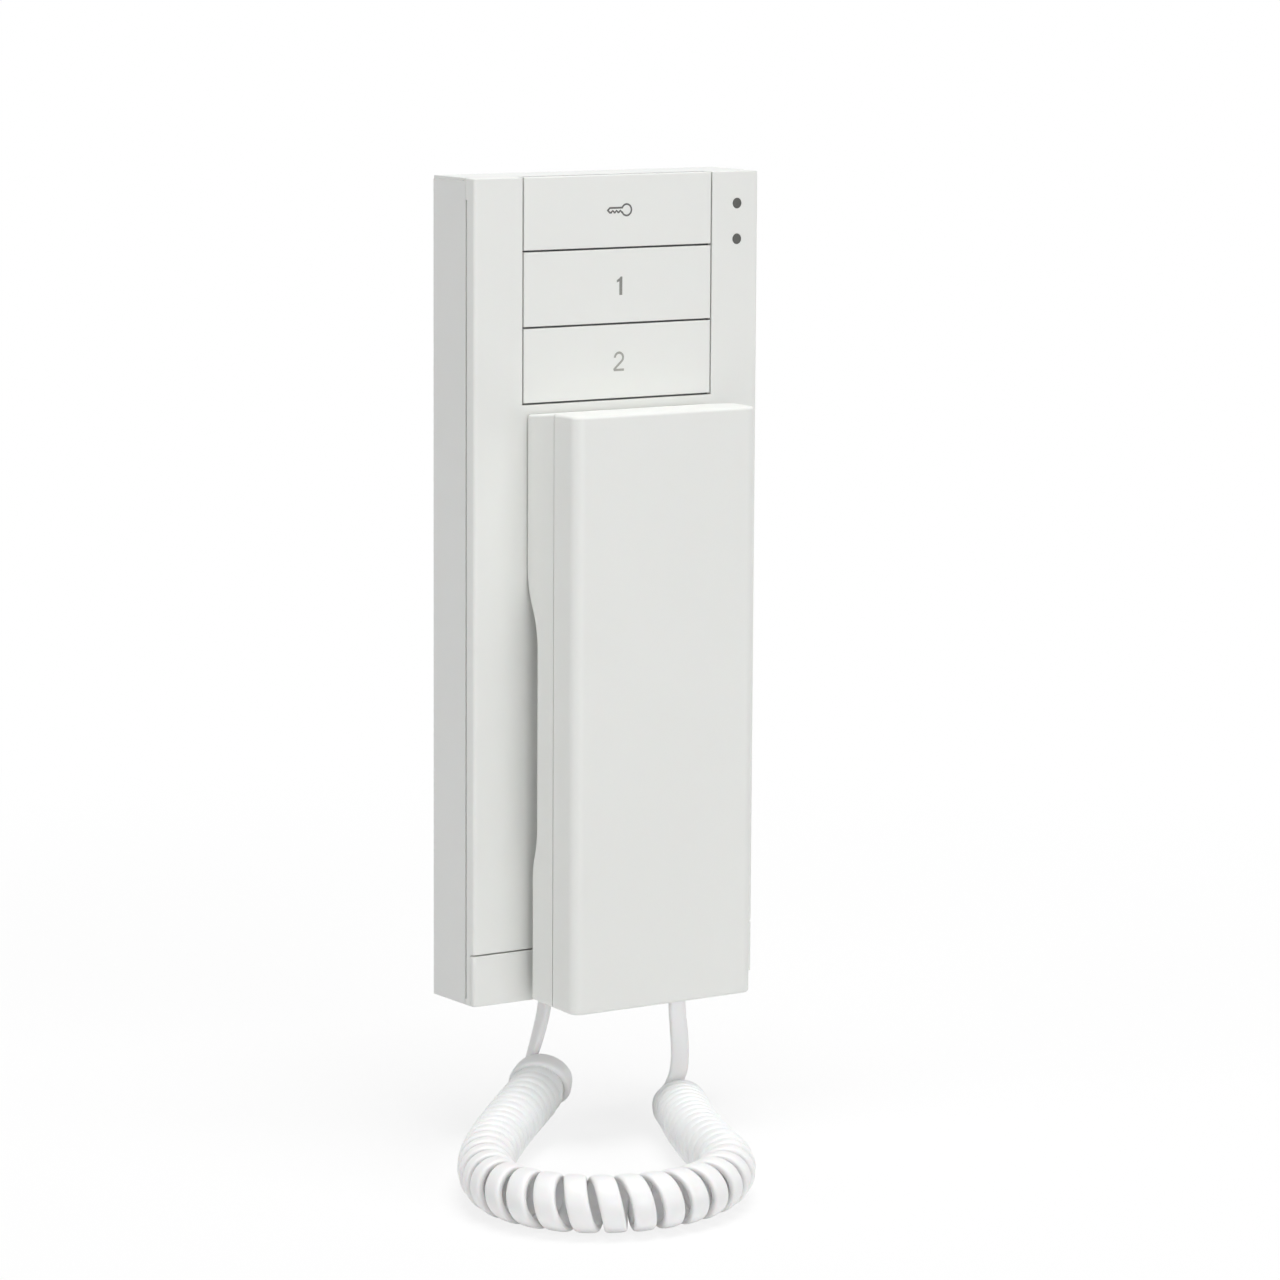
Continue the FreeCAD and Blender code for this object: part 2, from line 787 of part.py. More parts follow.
def button_switches():
    bodies = []
    for row in range(3):
        z = button_centre(row)
        half = switch_size / 2
        body = block(-half, half, board_front_y - switch_height, board_front_y, z - half, z + half)
        bore_y = board_front_y - switch_height + button_travel + plunger_root + plunger_clearance
        bore = rod(plunger_radius + plunger_clearance, 0, z, board_front_y - switch_height, bore_y)
        body = body.cut(bore)
        bodies.append(body)
    return Part.makeCompound(bodies)


def switch_plunger(row):
    root_y = board_front_y - switch_height + plunger_root
    return rod(plunger_radius, 0, button_centre(row), plunger_top_y, root_y)


def light_pipes():
    pipes = []
    for level in led_heights:
        z = height(level)
        pipe = rod(light_pipe_radius, led_x, z, front_y, board_front_y - led_thickness - led_air)
        collar = rod(light_pipe_collar_radius, led_x, z, inner_front_y, inner_front_y + light_pipe_collar)
        pipes.append(pipe.fuse(collar).removeSplitter())
    return Part.makeCompound(pipes)


def indicator_leds():
    return Part.makeCompound([
        block(led_x - led_width / 2, led_x + led_width / 2, board_front_y - led_thickness, board_front_y,
              height(level) - led_height / 2, height(level) + led_height / 2)
        for level in led_heights])


def call_buzzer():
    z = height(buzzer_height)
    top_y = board_front_y - buzzer_thickness
    body = rod(buzzer_radius, buzzer_x, z, top_y, board_front_y)
    return body.cut(rod(buzzer_port_radius, buzzer_x, z, top_y, top_y + buzzer_port_depth))


def terminal_places():
    first = -(terminal_count - 1) / 2 * terminal_pitch
    return [first + i * terminal_pitch for i in range(terminal_count)]


def terminal_block():
    half = terminal_count * terminal_pitch / 2
    low = height(terminal_bottom)
    rear_y = board_back_y + terminal_depth
    body = block(-half, half, board_back_y, rear_y, low, low + terminal_height)
    for x in terminal_places():
        body = body.cut(rod(terminal_screw_radius + thread_clearance, x, low + terminal_screw_level,
                            rear_y - terminal_screw_length - terminal_screw_sink, rear_y))
        mouth = V(x, board_back_y + terminal_wire_level, low)
        body = body.cut(Part.makeCylinder(terminal_wire_radius, terminal_wire_depth, mouth, V(0, 0, 1)))
    return body


def terminal_screws():
    screws = []
    z = height(terminal_bottom) + terminal_screw_level
    end_y = board_back_y + terminal_depth - terminal_screw_sink
    for x in terminal_places():
        screw = rod(terminal_screw_radius, x, z, end_y - terminal_screw_length, end_y)
        slot = block(x - terminal_screw_radius, x + terminal_screw_radius, end_y - terminal_slot_depth, end_y,
                     z - terminal_slot_width / 2, z + terminal_slot_width / 2)
        screws.append(screw.cut(slot))
    return Part.makeCompound(screws)


def board_capacitors():
    end_y = board_back_y + capacitor_length
    return Part.makeCompound([rod(capacitor_radius, inset - board_width / 2, height(level), board_back_y, end_y)
                              for inset, level in capacitor_places])


def board_chips():
    return Part.makeCompound([
        block(x - w / 2, x + w / 2, board_front_y - chip_thickness, board_front_y,
              height(level) - h / 2, height(level) + h / 2)
        for x, level, w, h in chip_places])


def on_board_back(place, size):
    x, level = place
    w, d, h = size
    z = height(level)
    return block(x - w / 2, x + w / 2, board_back_y, board_back_y + d, z - h / 2, z + h / 2)


def line_transformer():
    core = on_board_back(transformer_place, transformer_core)
    return core.fuse(on_board_back(transformer_place, transformer_bobbin))


def reed_switch():
    z = height(reed_height)
    y = board_front_y - reed_radius - reed_lift
    half = reed_length / 2
    body = Part.makeCylinder(reed_radius, reed_length, V(magnet_x - half, y, z), V(1, 0, 0))
    for side in (-1, 1):
        a = magnet_x + side * (half - root)
        b = magnet_x + side * (half + reed_end_length)
        half_lead = reed_lead / 2
        lead = block(min(a, b), max(a, b), y - half_lead, board_front_y, z - half_lead, z + half_lead)
        body = body.fuse(lead)
    return body


def keeper_plate():
    w, d, h = keeper_size
    z = height(magnet_height)
    return block(magnet_x - w / 2, magnet_x + w / 2, inner_front_y, inner_front_y + d, z - h / 2, z + h / 2)


def rest_bumper():
    z = height(bumper_height)
    head_y = -mouth_depth + rest_clearance
    head = rod(bumper_head_radius, 0, z, head_y, front_y)
    head = head.makeFillet(bumper_edge_radius, [e for e in head.Edges if e.BoundBox.YMax < head_y + near])
    stem = rod(bumper_stem_radius, 0, z, front_y, inner_front_y)
    barb = rod(bumper_barb_radius, 0, z, inner_front_y, inner_front_y + bumper_barb_length)
    return head.fuse(stem).fuse(barb)


# Cord sockets and plugs

def cord_socket(x, y, floor_z):
    half = socket_width / 2
    body = block(x - half, x + half, y - half, y + half, floor_z, floor_z + socket_length)
    reach_x = plug_width / 2 + plug_clearance
    reach_y = plug_thickness / 2 + plug_latch_thickness + plug_clearance
    return body.cut(block(x - reach_x, x + reach_x, y - reach_y, y + reach_y, floor_z,
                          floor_z + socket_length - socket_back))


def cord_plug(x, y, low_z):
    body = block(x - plug_width / 2, x + plug_width / 2, y - plug_thickness / 2, y + plug_thickness / 2,
                 low_z, low_z + plug_length)
    body = body.makeFillet(plug_edge_radius, edges_along(body, 2, lambda p: True))
    latch_y = y + plug_thickness / 2
    latch = block(x - plug_latch_width / 2, x + plug_latch_width / 2, latch_y - root,
                  latch_y + plug_latch_thickness, low_z + plug_latch_start, low_z + plug_latch_end)
    return body.fuse(latch)


base_socket_z = bottom_z + wall + socket_lift
base_plug_z = bottom_z + plug_inset
handset_floor_z = bottom_z + bottom_slope + handset_wall
handset_plug_z = bottom_z + bottom_slope


# Handset

def back_line(shift):
    """Edges of the handset's back from the bottom up in the YZ plane, moved towards the front by shift."""
    def s_bend(z0, y0, z1, y1):
        a = V(0, y0, z0)
        b = V(0, y1, z1)
        middle = (a + b) * 0.5
        rise, reach = abs(z1 - z0), abs(y1 - y0)
        radius = (rise * rise + reach * reach) / (4 * reach)
        half_angle = math.asin(rise / 2 / radius) / 2
        towards = 1 if y1 > y0 else -1
        step = V(0, towards * radius * (1 - math.cos(half_angle)), radius * math.sin(half_angle))
        return [Part.Arc(a, a + step, middle).toShape(), Part.Arc(middle, b - step, b).toShape()]

    mouth = -mouth_depth - shift
    grip = -grip_depth - shift
    ear = handset_rear_y - shift
    low = bottom_z + bottom_slope
    high = bottom_z + handset_length - top_slope
    bend_levels = [height(z) for z in (mouth_bend[1], mouth_bend[0], ear_bend[1], ear_bend[0])]
    edges = [Part.LineSegment(V(0, mouth, low), V(0, mouth, bend_levels[0])).toShape()]
    edges += s_bend(bend_levels[0], mouth, bend_levels[1], grip)
    edges.append(Part.LineSegment(V(0, grip, bend_levels[1]), V(0, grip, bend_levels[2])).toShape())
    edges += s_bend(bend_levels[2], grip, bend_levels[3], ear)
    edges.append(Part.LineSegment(V(0, ear, bend_levels[3]), V(0, ear, high)).toShape())
    return edges, V(0, mouth, low), V(0, ear, high)


def handset_body():
    """Outer form of the whole handset, both shells together."""
    edges, low, high = back_line(0)
    front = -handset_front
    split = -handset_split
    top = bottom_z + handset_length
    corners = [high, V(0, split, top), V(0, front, top), V(0, front, bottom_z), low]
    for a, b in zip(corners, corners[1:]):
        edges.append(Part.LineSegment(a, b).toShape())
    face = Part.Face(Part.Wire(Part.__sortEdges__(edges)))
    body = face.extrude(V(handset_width, 0, 0))
    body.translate(V(-handset_width / 2, 0, 0))
    upright = edges_along(body, 2, lambda p: p.y < front + near)
    body = body.makeFillet(handset_edge_radius, upright)
    rim = [e for e in body.Edges if e.BoundBox.YMax < front + near + handset_edge_radius
           and e.BoundBox.ZLength < near]
    body = body.makeFillet(handset_rim_radius, rim)
    back = [e for e in body.Edges if e.BoundBox.YMin > -grip_depth - near and e.BoundBox.XLength < near
            and e.BoundBox.ZLength > 1.0]
    return body.makeFillet(handset_back_radius, back)


def hollow(y0, y1):
    """Space inside the handset between two depths, open towards y1."""
    half = handset_width / 2 - handset_wall
    low = handset_floor_z
    high = bottom_z + handset_length - top_slope - handset_wall
    return block(-half, half, y0, y1, low, high)


def rear_hollow():
    edges, low, high = back_line(handset_wall)
    half = handset_width / 2 - handset_wall
    split = -handset_split
    floor = V(0, low.y, handset_floor_z)
    roof = V(0, high.y, high.z - handset_wall)
    trimmed = [Part.LineSegment(floor, edges[0].Vertexes[-1].Point).toShape()] + edges[1:-1]
    trimmed.append(Part.LineSegment(edges[-1].Vertexes[0].Point, roof).toShape())
    corners = [roof, V(0, split, roof.z), V(0, split, floor.z), floor]
    for a, b in zip(corners, corners[1:]):
        trimmed.append(Part.LineSegment(a, b).toShape())
    face = Part.Face(Part.Wire(Part.__sortEdges__(trimmed)))
    body = face.extrude(V(2 * half, 0, 0))
    body.translate(V(-half, 0, 0))
    return body


def handset_screw_places():
    return [(0, height(level)) for level in handset_screw_heights]


def handset_post_places():
    x, level = handset_board_place
    return [(x + side * handset_post_x, height(level) + side * handset_post_z) for side in (-1, 1)]


screw_seat_y = -grip_depth - handset_screw_sink
boss_face_y = screw_seat_y - handset_wall
handset_board_back_y = handset_cord_y - handset_board_clearance
handset_board_front_y = handset_board_back_y - handset_board_size[1]


def handset_front_shell():
    split = -handset_split - handset_seam / 2
    inner_front = -handset_front + handset_wall
    body = handset_body()
    body = body.common(block(-handset_width, handset_width, -handset_front - 1, split, 2 * bottom_z, top_z))
    body = body.cut(hollow(inner_front, split))
    half = handset_width / 2 - handset_wall
    ring_half = half - handset_fit
    low = handset_floor_z
    high = bottom_z + handset_length - top_slope - handset_wall
    end_y = -handset_split + handset_seam / 2 + handset_tongue_depth
    outer = block(-ring_half, ring_half, split, end_y, low + handset_fit, high - handset_fit)
    band = block(-half - root, half + root, split - handset_tongue, split, low - root, high + root)
    reach = ring_half - handset_tongue
    inner = block(-reach, reach, split - handset_tongue, end_y,
                  low + handset_tongue + handset_fit, high - handset_tongue - handset_fit)
    body = body.fuse(outer.fuse(band).cut(inner))
    boss_end_y = boss_face_y - contact_gap
    for x, z in handset_screw_places():
        body = body.fuse(rod(handset_boss_radius, x, z, inner_front - root, boss_end_y))
        body = body.cut(rod(handset_screw_radius + thread_clearance, x, z, inner_front, boss_end_y))
    for x, z in handset_post_places():
        body = body.fuse(rod(handset_post_radius, x, z, inner_front - root, handset_board_front_y))
        bore = rod(board_screw_radius + thread_clearance, x, z, inner_front, handset_board_front_y)
        body = body.cut(bore)
    capsule_back = receiver_levels()[2]
    for x, z in ring_places(0, height(ear_height), receiver_post_ring, receiver_post_count):
        body = body.fuse(rod(receiver_post_radius, x, z, inner_front - root, capsule_back - contact_gap))
    reach = socket_width / 2 + side_clearance
    body = body.cut(block(handset_cord_x - reach, handset_cord_x + reach, handset_cord_y - reach,
                          handset_cord_y + reach, handset_floor_z, handset_floor_z + socket_length))
    body = body.cut(socket_mouth(handset_cord_x, handset_cord_y, bottom_z, handset_floor_z))
    return body


def receiver_levels():
    """Y of the dish floor's inner side, the capsule's front and the capsule's back."""
    floor = handset_rear_y - ear_dish_depth - handset_wall
    capsule_front = floor - gasket_thickness
    capsule_back = capsule_front - receiver_rim - receiver_magnet_length
    return floor, capsule_front, capsule_back


def handset_rear_shell():
    split = -handset_split + handset_seam / 2
    body = handset_body()
    body = body.common(block(-handset_width, handset_width, split, 0, 2 * bottom_z, top_z))
    inner = rear_hollow()
    body = body.cut(inner)
    ear_z = height(ear_height)
    floor = receiver_levels()[0]
    collar_radius = receiver_radius + receiver_clearance + receiver_collar
    pad = rod(collar_radius, 0, ear_z, floor - receiver_collar_depth, handset_rear_y - handset_wall / 2)
    body = body.fuse(pad)
    seat = rod(receiver_radius + receiver_clearance, 0, ear_z, floor - receiver_collar_depth, floor)
    body = body.cut(seat)
    body = body.cut(rod(cradle_radius + cradle_clearance, 0, ear_z, handset_rear_y - ear_dish_depth, 0))
    for radius, count in zip(ear_hole_rings, ear_hole_counts):
        for x, z in ring_places(0, ear_z, radius, count):
            body = body.cut(rod(ear_hole_radius, x, z, floor, handset_rear_y))

    mouth_inner = -mouth_depth - handset_wall
    mic_z = height(microphone_height)
    boot_bore = boot_radius + boot_clearance
    collar_y = mouth_inner - boot_collar_depth
    collar = rod(boot_bore + boot_collar, microphone_x, mic_z, collar_y, mouth_inner + root)
    body = body.fuse(collar.cut(rod(boot_bore, microphone_x, mic_z, collar_y, mouth_inner)))
    for i in (-1, 0, 1):
        body = body.cut(rod(microphone_hole_radius, microphone_x + i * microphone_hole_spacing, mic_z,
                            mouth_inner, -mouth_depth))
    magnet_z = height(magnet_height)
    magnet_bore = magnet_radius + magnet_clearance
    cup_y = mouth_inner - magnet_thickness
    cup = rod(magnet_bore + magnet_collar, magnet_x, magnet_z, cup_y, mouth_inner + root)
    body = body.fuse(cup.cut(rod(magnet_bore, magnet_x, magnet_z, cup_y, mouth_inner)))
    for x, z in handset_screw_places():
        body = body.fuse(rod(handset_boss_radius, x, z, boss_face_y, -grip_depth - root))
        body = body.cut(rod(handset_screw_head_radius + side_clearance, x, z, screw_seat_y, -grip_depth))
        body = body.cut(rod(handset_screw_radius + thread_clearance, x, z, boss_face_y, screw_seat_y))
    body = body.cut(socket_mouth(handset_cord_x, handset_cord_y, bottom_z, handset_floor_z))
    return body


def handset_screws():
    return Part.makeCompound([
        slotted_screw(handset_screw_radius, handset_screw_head_radius, handset_screw_head_height,
                      handset_screw_length, x, z, screw_seat_y, -1)
        for x, z in handset_screw_places()])


def receiver_capsule():
    floor, front, back = receiver_levels()
    z = height(ear_height)
    basket = rod(receiver_radius, 0, z, front - receiver_rim, front)
    magnet = rod(receiver_magnet_radius, 0, z, back, front - receiver_rim)
    return basket.fuse(magnet)


def receiver_gasket():
    floor, front, back = receiver_levels()
    z = height(ear_height)
    ring = rod(receiver_radius - contact_gap, 0, z, front + contact_gap, floor - contact_gap)
    return ring.cut(rod(receiver_radius - gasket_width, 0, z, front, floor))


def microphone_boot():
    z = height(microphone_height)
    back = -mouth_depth - handset_wall - contact_gap
    body = rod(boot_radius, microphone_x, z, back - boot_length, back)
    bore = rod(microphone_radius + contact_gap, microphone_x, z, back - boot_length, back - boot_floor)
    body = body.cut(bore)
    return body.cut(rod(boot_port_radius, microphone_x, z, back - boot_floor, back))


def microphone_capsule():
    z = height(microphone_height)
    back = -mouth_depth - handset_wall - contact_gap - boot_floor
    return rod(microphone_radius, microphone_x, z, back - microphone_length, back)


def handset_magnet():
    back = -mouth_depth - handset_wall
    return rod(magnet_radius, magnet_x, height(magnet_height), back - magnet_thickness, back)


def handset_board():
    x, level = handset_board_place
    w, d, h = handset_board_size
    body = block(x - w / 2, x + w / 2, handset_board_front_y, handset_board_back_y, height(level) - h / 2,
                 height(level) + h / 2)
    for px, pz in handset_post_places():
        body = body.cut(rod(board_screw_radius + thread_clearance, px, pz, handset_board_front_y,
                            handset_board_back_y))
    return body


def handset_board_screws():
    return Part.makeCompound([
        slotted_screw(board_screw_radius, board_screw_head_radius, board_screw_head_height,
                      handset_board_screw_length, x, z, handset_board_back_y, -1)
        for x, z in handset_post_places()])


# Tubes: straight runs joined by tangent arcs

def tube(points, diameter, name):
    """Round tube along hand-chosen points, each arc as large as its two runs allow."""
    corners = [V(*p) for p in points]
    edges = []
    start = corners[0]
    radii = []
    for a, b, c in zip(corners, corners[1:], corners[2:]):
        run_in, run_out = (a - b), (c - b)
        shorter = min(run_in.Length, run_out.Length)
        run_in.normalize()
        run_out.normalize()
        turn = math.pi - run_in.getAngle(run_out)
        cut = 0.45 * shorter
        radius = cut / math.tan(turn / 2)
        radii.append(radius)
        into = b + run_in * cut
        away = b + run_out * cut
        bisector = (run_in + run_out).normalize()
        middle = b + bisector * (radius / math.cos(turn / 2) - radius)
        edges.append(Part.LineSegment(start, into).toShape())
        edges.append(Part.Arc(into, middle, away).toShape())
        start = away
    edges.append(Part.LineSegment(start, corners[-1]).toShape())
    path = Part.Wire(edges)
    solid = swept(path, corners[0], corners[1] - corners[0], diameter)
    expected = math.pi * diameter ** 2 / 4 * path.Length
    print(name, "length %.1f" % path.Length, "radii", " ".join("%.1f" % r for r in radii),
          "volume over section times length %.4f" % (solid.Volume / expected))
    return solid


def swept(path, start, direction, diameter):
    circle = Part.Wire([Part.makeCircle(diameter / 2, start, direction)])
    return path.makePipeShell([circle], True, False)


def handset_wires():
    """Two wires from the receiver and two from the microphone, all ending flat on the small board."""
    capsule_y = receiver_levels()[1] - receiver_rim
    microphone_y = -mouth_depth - handset_wall - contact_gap - boot_floor - microphone_length
    solder_y = handset_board_back_y + wire_radius + wire_clearance
    receiver_route = wire_route(receiver_wire_points, capsule_y, solder_y)
    microphone_route = wire_route(microphone_wire_points, microphone_y, solder_y)
    wires = []
    for i in range(2):
        wires.append(tube(moved(receiver_route, i * wire_spacing, 0), 2 * wire_radius, "receiver wire"))
        wires.append(tube(moved(microphone_route, 0, i * wire_spacing), 2 * wire_radius, "microphone wire"))
    return Part.makeCompound(wires)


def wire_route(points, start_y, solder_y):
    """The chosen points, after a straight run out of the capsule, and the last two flat on the board."""
    places = [(x, y, height(z)) for x, y, z in points]
    x, _, z = places[0]
    route = [(x, start_y, z), (x, start_y - wire_exit_run, z)] + places[1:]
    return route[:-2] + [(x, solder_y, z) for x, _, z in route[-2:]]


def moved(points, dx, dz):
    return [(x + dx, y, z + dz) for x, y, z in points]


# Cord

def coil_axis():
    """Smooth line through the coil, with the chosen points as its control points."""
    poles = [V(x, y, height(z)) for x, y, z in coil_axis_points]
    spans = len(poles) - 2
    curve = Part.BSplineCurve()
    curve.buildFromPolesMultsKnots(poles, [3] + [1] * (spans - 1) + [3], list(range(spans + 1)), False, 2)
    return curve


def eased(share):
    share = min(max(share, 0.0), 1.0)
    return share * share * (3 - 2 * share)


def open_share(s):
    """0 where the curls lie closed, 1 where they stand open."""
    return eased((s - coil_opens_at) / coil_pitch_ramp) * eased((coil_closes_at - s) / coil_pitch_ramp)


def pitch_at(s):
    return coil_closed_pitch + (coil_open_pitch - coil_closed_pitch) * open_share(s)


def turn_places(length):
    """Distance along the axis at each half turn."""
    places = [0.0]
    step = 0.05
    s, phase = 0.0, 0.0
    while s < length:
        phase += math.pi * 2 * step / pitch_at(s)
        s += step
        if phase >= math.pi * len(places):
            places.append(s)
    return places


def coil_frame(curve, s):
    """Middle, direction, side and upper direction of the coil at a distance along its axis."""
    u = curve.parameterAtDistance(s, curve.FirstParameter)
    middle = curve.value(u)
    forward = V(*curve.tangent(u)[0])
    side = forward.cross(V(0, 0, 1)).normalize()
    up = side.cross(forward).normalize()
    return middle, forward, side, up


def curl_radius(half_turns_from_end):
    """Full radius along the coil, smaller in the first and last half turn."""
    full = coil_outer_radius - cord_diameter / 2
    share = min(1.0, half_turns_from_end / 2)
    return coil_end_radius + (full - coil_end_radius) * share


def curl_point(curve, places, t):
    """Point on the cord's middle line after t half turns."""
    last = len(places) - 1
    t = min(max(t, 0.0), float(last))
    i = min(int(t), last - 1)
    s = places[i] + (places[i + 1] - places[i]) * (t - i)
    middle, forward, side, up = coil_frame(curve, s)
    radius = curl_radius(min(t, last - t))
    angle = math.pi * t
    return middle + side * (radius * math.cos(angle)) - up * (radius * math.sin(angle))


def curl_direction(curve, places, t):
    step = 0.01
    last = len(places) - 1
    a = curl_point(curve, places, max(t - step, 0.0))
    b = curl_point(curve, places, min(t + step, float(last)))
    return (b - a).normalize()


def arc_edge(a, direction, b):
    """Arc from a to b that leaves a in the given direction."""
    chord = b - a
    along = chord * (direction.dot(chord) / chord.dot(chord))
    out = direction - along
    half = direction.getAngle(chord)
    if half < 1e-4:
        return Part.LineSegment(a, b).toShape()
    middle = (a + b) * 0.5 + out.normalize() * (chord.Length / 2 * math.tan(half / 2))
    return Part.Arc(a, middle, b).toShape()


def biarc(a, ta, b, tb):
    """Two tangent arcs from a to b with the given directions at the ends."""
    v = b - a
    t = ta + tb
    denominator = 2 * (1 - ta.dot(tb))
    if denominator < 1e-6:
        d = v.dot(v) / (4 * v.dot(ta))
    else:
        d = (-v.dot(t) + math.sqrt(v.dot(t) ** 2 + denominator * v.dot(v))) / denominator
    q0 = a + ta * d
    q1 = b - tb * d
    joint = (q0 + q1) * 0.5
    middle_direction = (q1 - q0).normalize()
    return [arc_edge(a, ta, joint), arc_edge(joint, middle_direction, b)]


def coil_path():
    curve = coil_axis()
    length = curve.length()
    places = turn_places(length)
    count = len(places) - 1
    points = [curl_point(curve, places, i) for i in range(count + 1)]
    directions = [curl_direction(curve, places, i) for i in range(count + 1)]
    down = V(0, 0, -1)
    first_direction = down
    lead_in = points[0] - (directions[0] + down).normalize() * coil_lead
    last_up = V(0, 0, 1)
    lead_out = points[-1] + (directions[-1] + last_up).normalize() * coil_lead
    start = lead_in - first_direction * cord_diameter
    end = lead_out + last_up * cord_diameter
    edges = [Part.LineSegment(start, lead_in).toShape()]
    edges += biarc(lead_in, first_direction, points[0], directions[0])
    for i in range(count):
        edges += biarc(points[i], directions[i], points[i + 1], directions[i + 1])
    edges += biarc(points[-1], directions[-1], lead_out, last_up)
    edges.append(Part.LineSegment(lead_out, end).toShape())
    return Part.Wire(edges), start, end, count / 2


def least_gap(path, steps_per_mm, skip):
    """Least distance between stretches of a path that are at least skip apart along it, less the cord."""
    count = int(path.Length * steps_per_mm)
    points = path.discretize(count)
    spacing = path.Length / (count - 1)
    away = int(skip / spacing)
    reach = int(2.2 * 2 * math.pi * coil_outer_radius / spacing)
    best = 1e9
    for i, p in enumerate(points):
        for j in range(i + away, min(i + reach, count)):
            best = min(best, p.distanceToPoint(points[j]))
    return best - cord_diameter


def cord_pieces():
    path, start, end, turns = coil_path()
    coil = swept(path, start, V(0, 0, -1), cord_diameter)
    section = math.pi * cord_diameter ** 2 / 4
    print("cord_coil turns %.1f" % turns, "length %.1f" % path.Length,
          "volume over section times length %.4f" % (coil.Volume / (section * path.Length)),
          "least gap %.2f" % least_gap(path, 1.0, 6 * cord_diameter),
          "start %.1f %.1f %.1f" % tuple(start), "end %.1f %.1f %.1f" % tuple(end))
    base_exit = V(base_cord_x, base_cord_y, base_plug_z)
    handset_exit = V(handset_cord_x, handset_cord_y, handset_plug_z)
    base_end = tube(end_route(base_exit, base_end_points, start), cord_diameter, "cord_base_end")
    handset_end = tube(end_route(handset_exit, handset_end_points, end), cord_diameter, "cord_handset_end")
    return coil, base_end, handset_end


def end_route(plug_exit, points, coil_end):
    """Straight down out of the plug, through the chosen points, straight down into the coil's end."""
    drop = V(0, 0, cord_end_run)
    middle = [V(x, y, height(z)) for x, y, z in points]
    return [tuple(p) for p in [plug_exit, plug_exit - drop] + middle + [coil_end + drop, coil_end]]


os.makedirs("parts", exist_ok=True)
marks = {2: ("key_symbol", key_symbol()), 1: ("digit_1", digit_1()), 0: ("digit_2", digit_2())}
button_names = {2: "button_key", 1: "button_1", 0: "button_2"}
plunger_names = {2: "plunger_key", 1: "plunger_1", 0: "plunger_2"}

export("rear_housing", rear_housing())
export("front_cover", front_cover())
export("lower_cover", lower_cover())
export("cover_screws", cover_screws())
export("button_carrier", button_carrier())
for row in (2, 1, 0):
    mark_name, mark = marks[row]
    export(button_names[row], button(row, mark))
    export(mark_name, mark)
    export(plunger_names[row], switch_plunger(row))
export("button_switches", button_switches())
export("main_board", main_board())
export("board_screws", board_screws())
export("board_chips", board_chips())
export("board_capacitors", board_capacitors())
export("line_transformer", line_transformer())
export("terminal_block", terminal_block())
export("terminal_screws", terminal_screws())
export("call_buzzer", call_buzzer())
export("indicator_leds", indicator_leds())
export("light_pipes", light_pipes())
export("reed_switch", reed_switch())
export("keeper_plate", keeper_plate())
export("rest_bumper", rest_bumper())
base_socket = cord_socket(base_cord_x, base_cord_y, base_socket_z)
base_plug = cord_plug(base_cord_x, base_cord_y, base_plug_z)
export("base_cord_socket", quarter_turned(base_socket, base_cord_x, base_cord_y))
export("base_cord_plug", quarter_turned(base_plug, base_cord_x, base_cord_y))
export("handset_front_shell", handset_front_shell())
export("handset_rear_shell", handset_rear_shell())
export("handset_screws", handset_screws())
export("receiver_capsule", receiver_capsule())
export("receiver_gasket", receiver_gasket())
export("microphone_capsule", microphone_capsule())
export("microphone_boot", microphone_boot())
export("handset_magnet", handset_magnet())
export("handset_board", handset_board())
export("handset_board_screws", handset_board_screws())
export("handset_cord_socket", cord_socket(handset_cord_x, handset_cord_y, handset_floor_z + socket_lift))
export("handset_cord_plug", cord_plug(handset_cord_x, handset_cord_y, handset_plug_z))
export("handset_wires", handset_wires())
coil, base_end, handset_end = cord_pieces()
export("cord_coil", coil)
export("cord_base_end", base_end)
export("cord_handset_end", handset_end)
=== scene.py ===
"""Looks of an intercom indoor station: white wall unit, handset on its rest, curly cord between them."""
import math

import bpy
import numpy as np
from mathutils import Matrix, Vector


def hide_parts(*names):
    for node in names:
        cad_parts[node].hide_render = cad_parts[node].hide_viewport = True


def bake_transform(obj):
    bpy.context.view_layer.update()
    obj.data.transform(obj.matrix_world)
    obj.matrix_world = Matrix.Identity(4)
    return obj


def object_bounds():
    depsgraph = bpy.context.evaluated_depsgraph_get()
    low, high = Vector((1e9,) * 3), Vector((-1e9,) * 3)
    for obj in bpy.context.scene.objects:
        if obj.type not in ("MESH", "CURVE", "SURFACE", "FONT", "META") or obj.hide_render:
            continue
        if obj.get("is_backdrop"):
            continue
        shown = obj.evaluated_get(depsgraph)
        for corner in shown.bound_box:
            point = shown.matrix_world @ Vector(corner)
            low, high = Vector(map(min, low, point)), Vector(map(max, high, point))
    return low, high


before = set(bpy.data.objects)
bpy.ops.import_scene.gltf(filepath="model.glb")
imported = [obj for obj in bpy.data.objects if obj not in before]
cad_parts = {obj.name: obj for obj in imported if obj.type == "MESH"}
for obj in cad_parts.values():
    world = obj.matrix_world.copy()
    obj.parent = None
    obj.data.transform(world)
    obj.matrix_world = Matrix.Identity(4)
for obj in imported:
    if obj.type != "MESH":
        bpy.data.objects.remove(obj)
cad_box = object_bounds()

MM = 0.001

# Camera, placed as the photograph was taken: left of the front, a little above, a long lens
CAMERA_PLACE = (-0.7360, -1.1403, 0.1832)
CAMERA_YAW = math.radians(33.595)
CAMERA_PITCH = math.radians(8.396)
CAMERA_ROLL = math.radians(0.322)
CAMERA_LENS = 141.89
CAMERA_SENSOR = 36.0

# Flat cord of four cores, wound into a curly cord; points in mm, heights from the unit's bottom edge
UNIT_BOTTOM = -110.0
BAND_WIDTH = 5.8
TAIL_WIDTH = 4.9
BAND_THICKNESS = 2.4
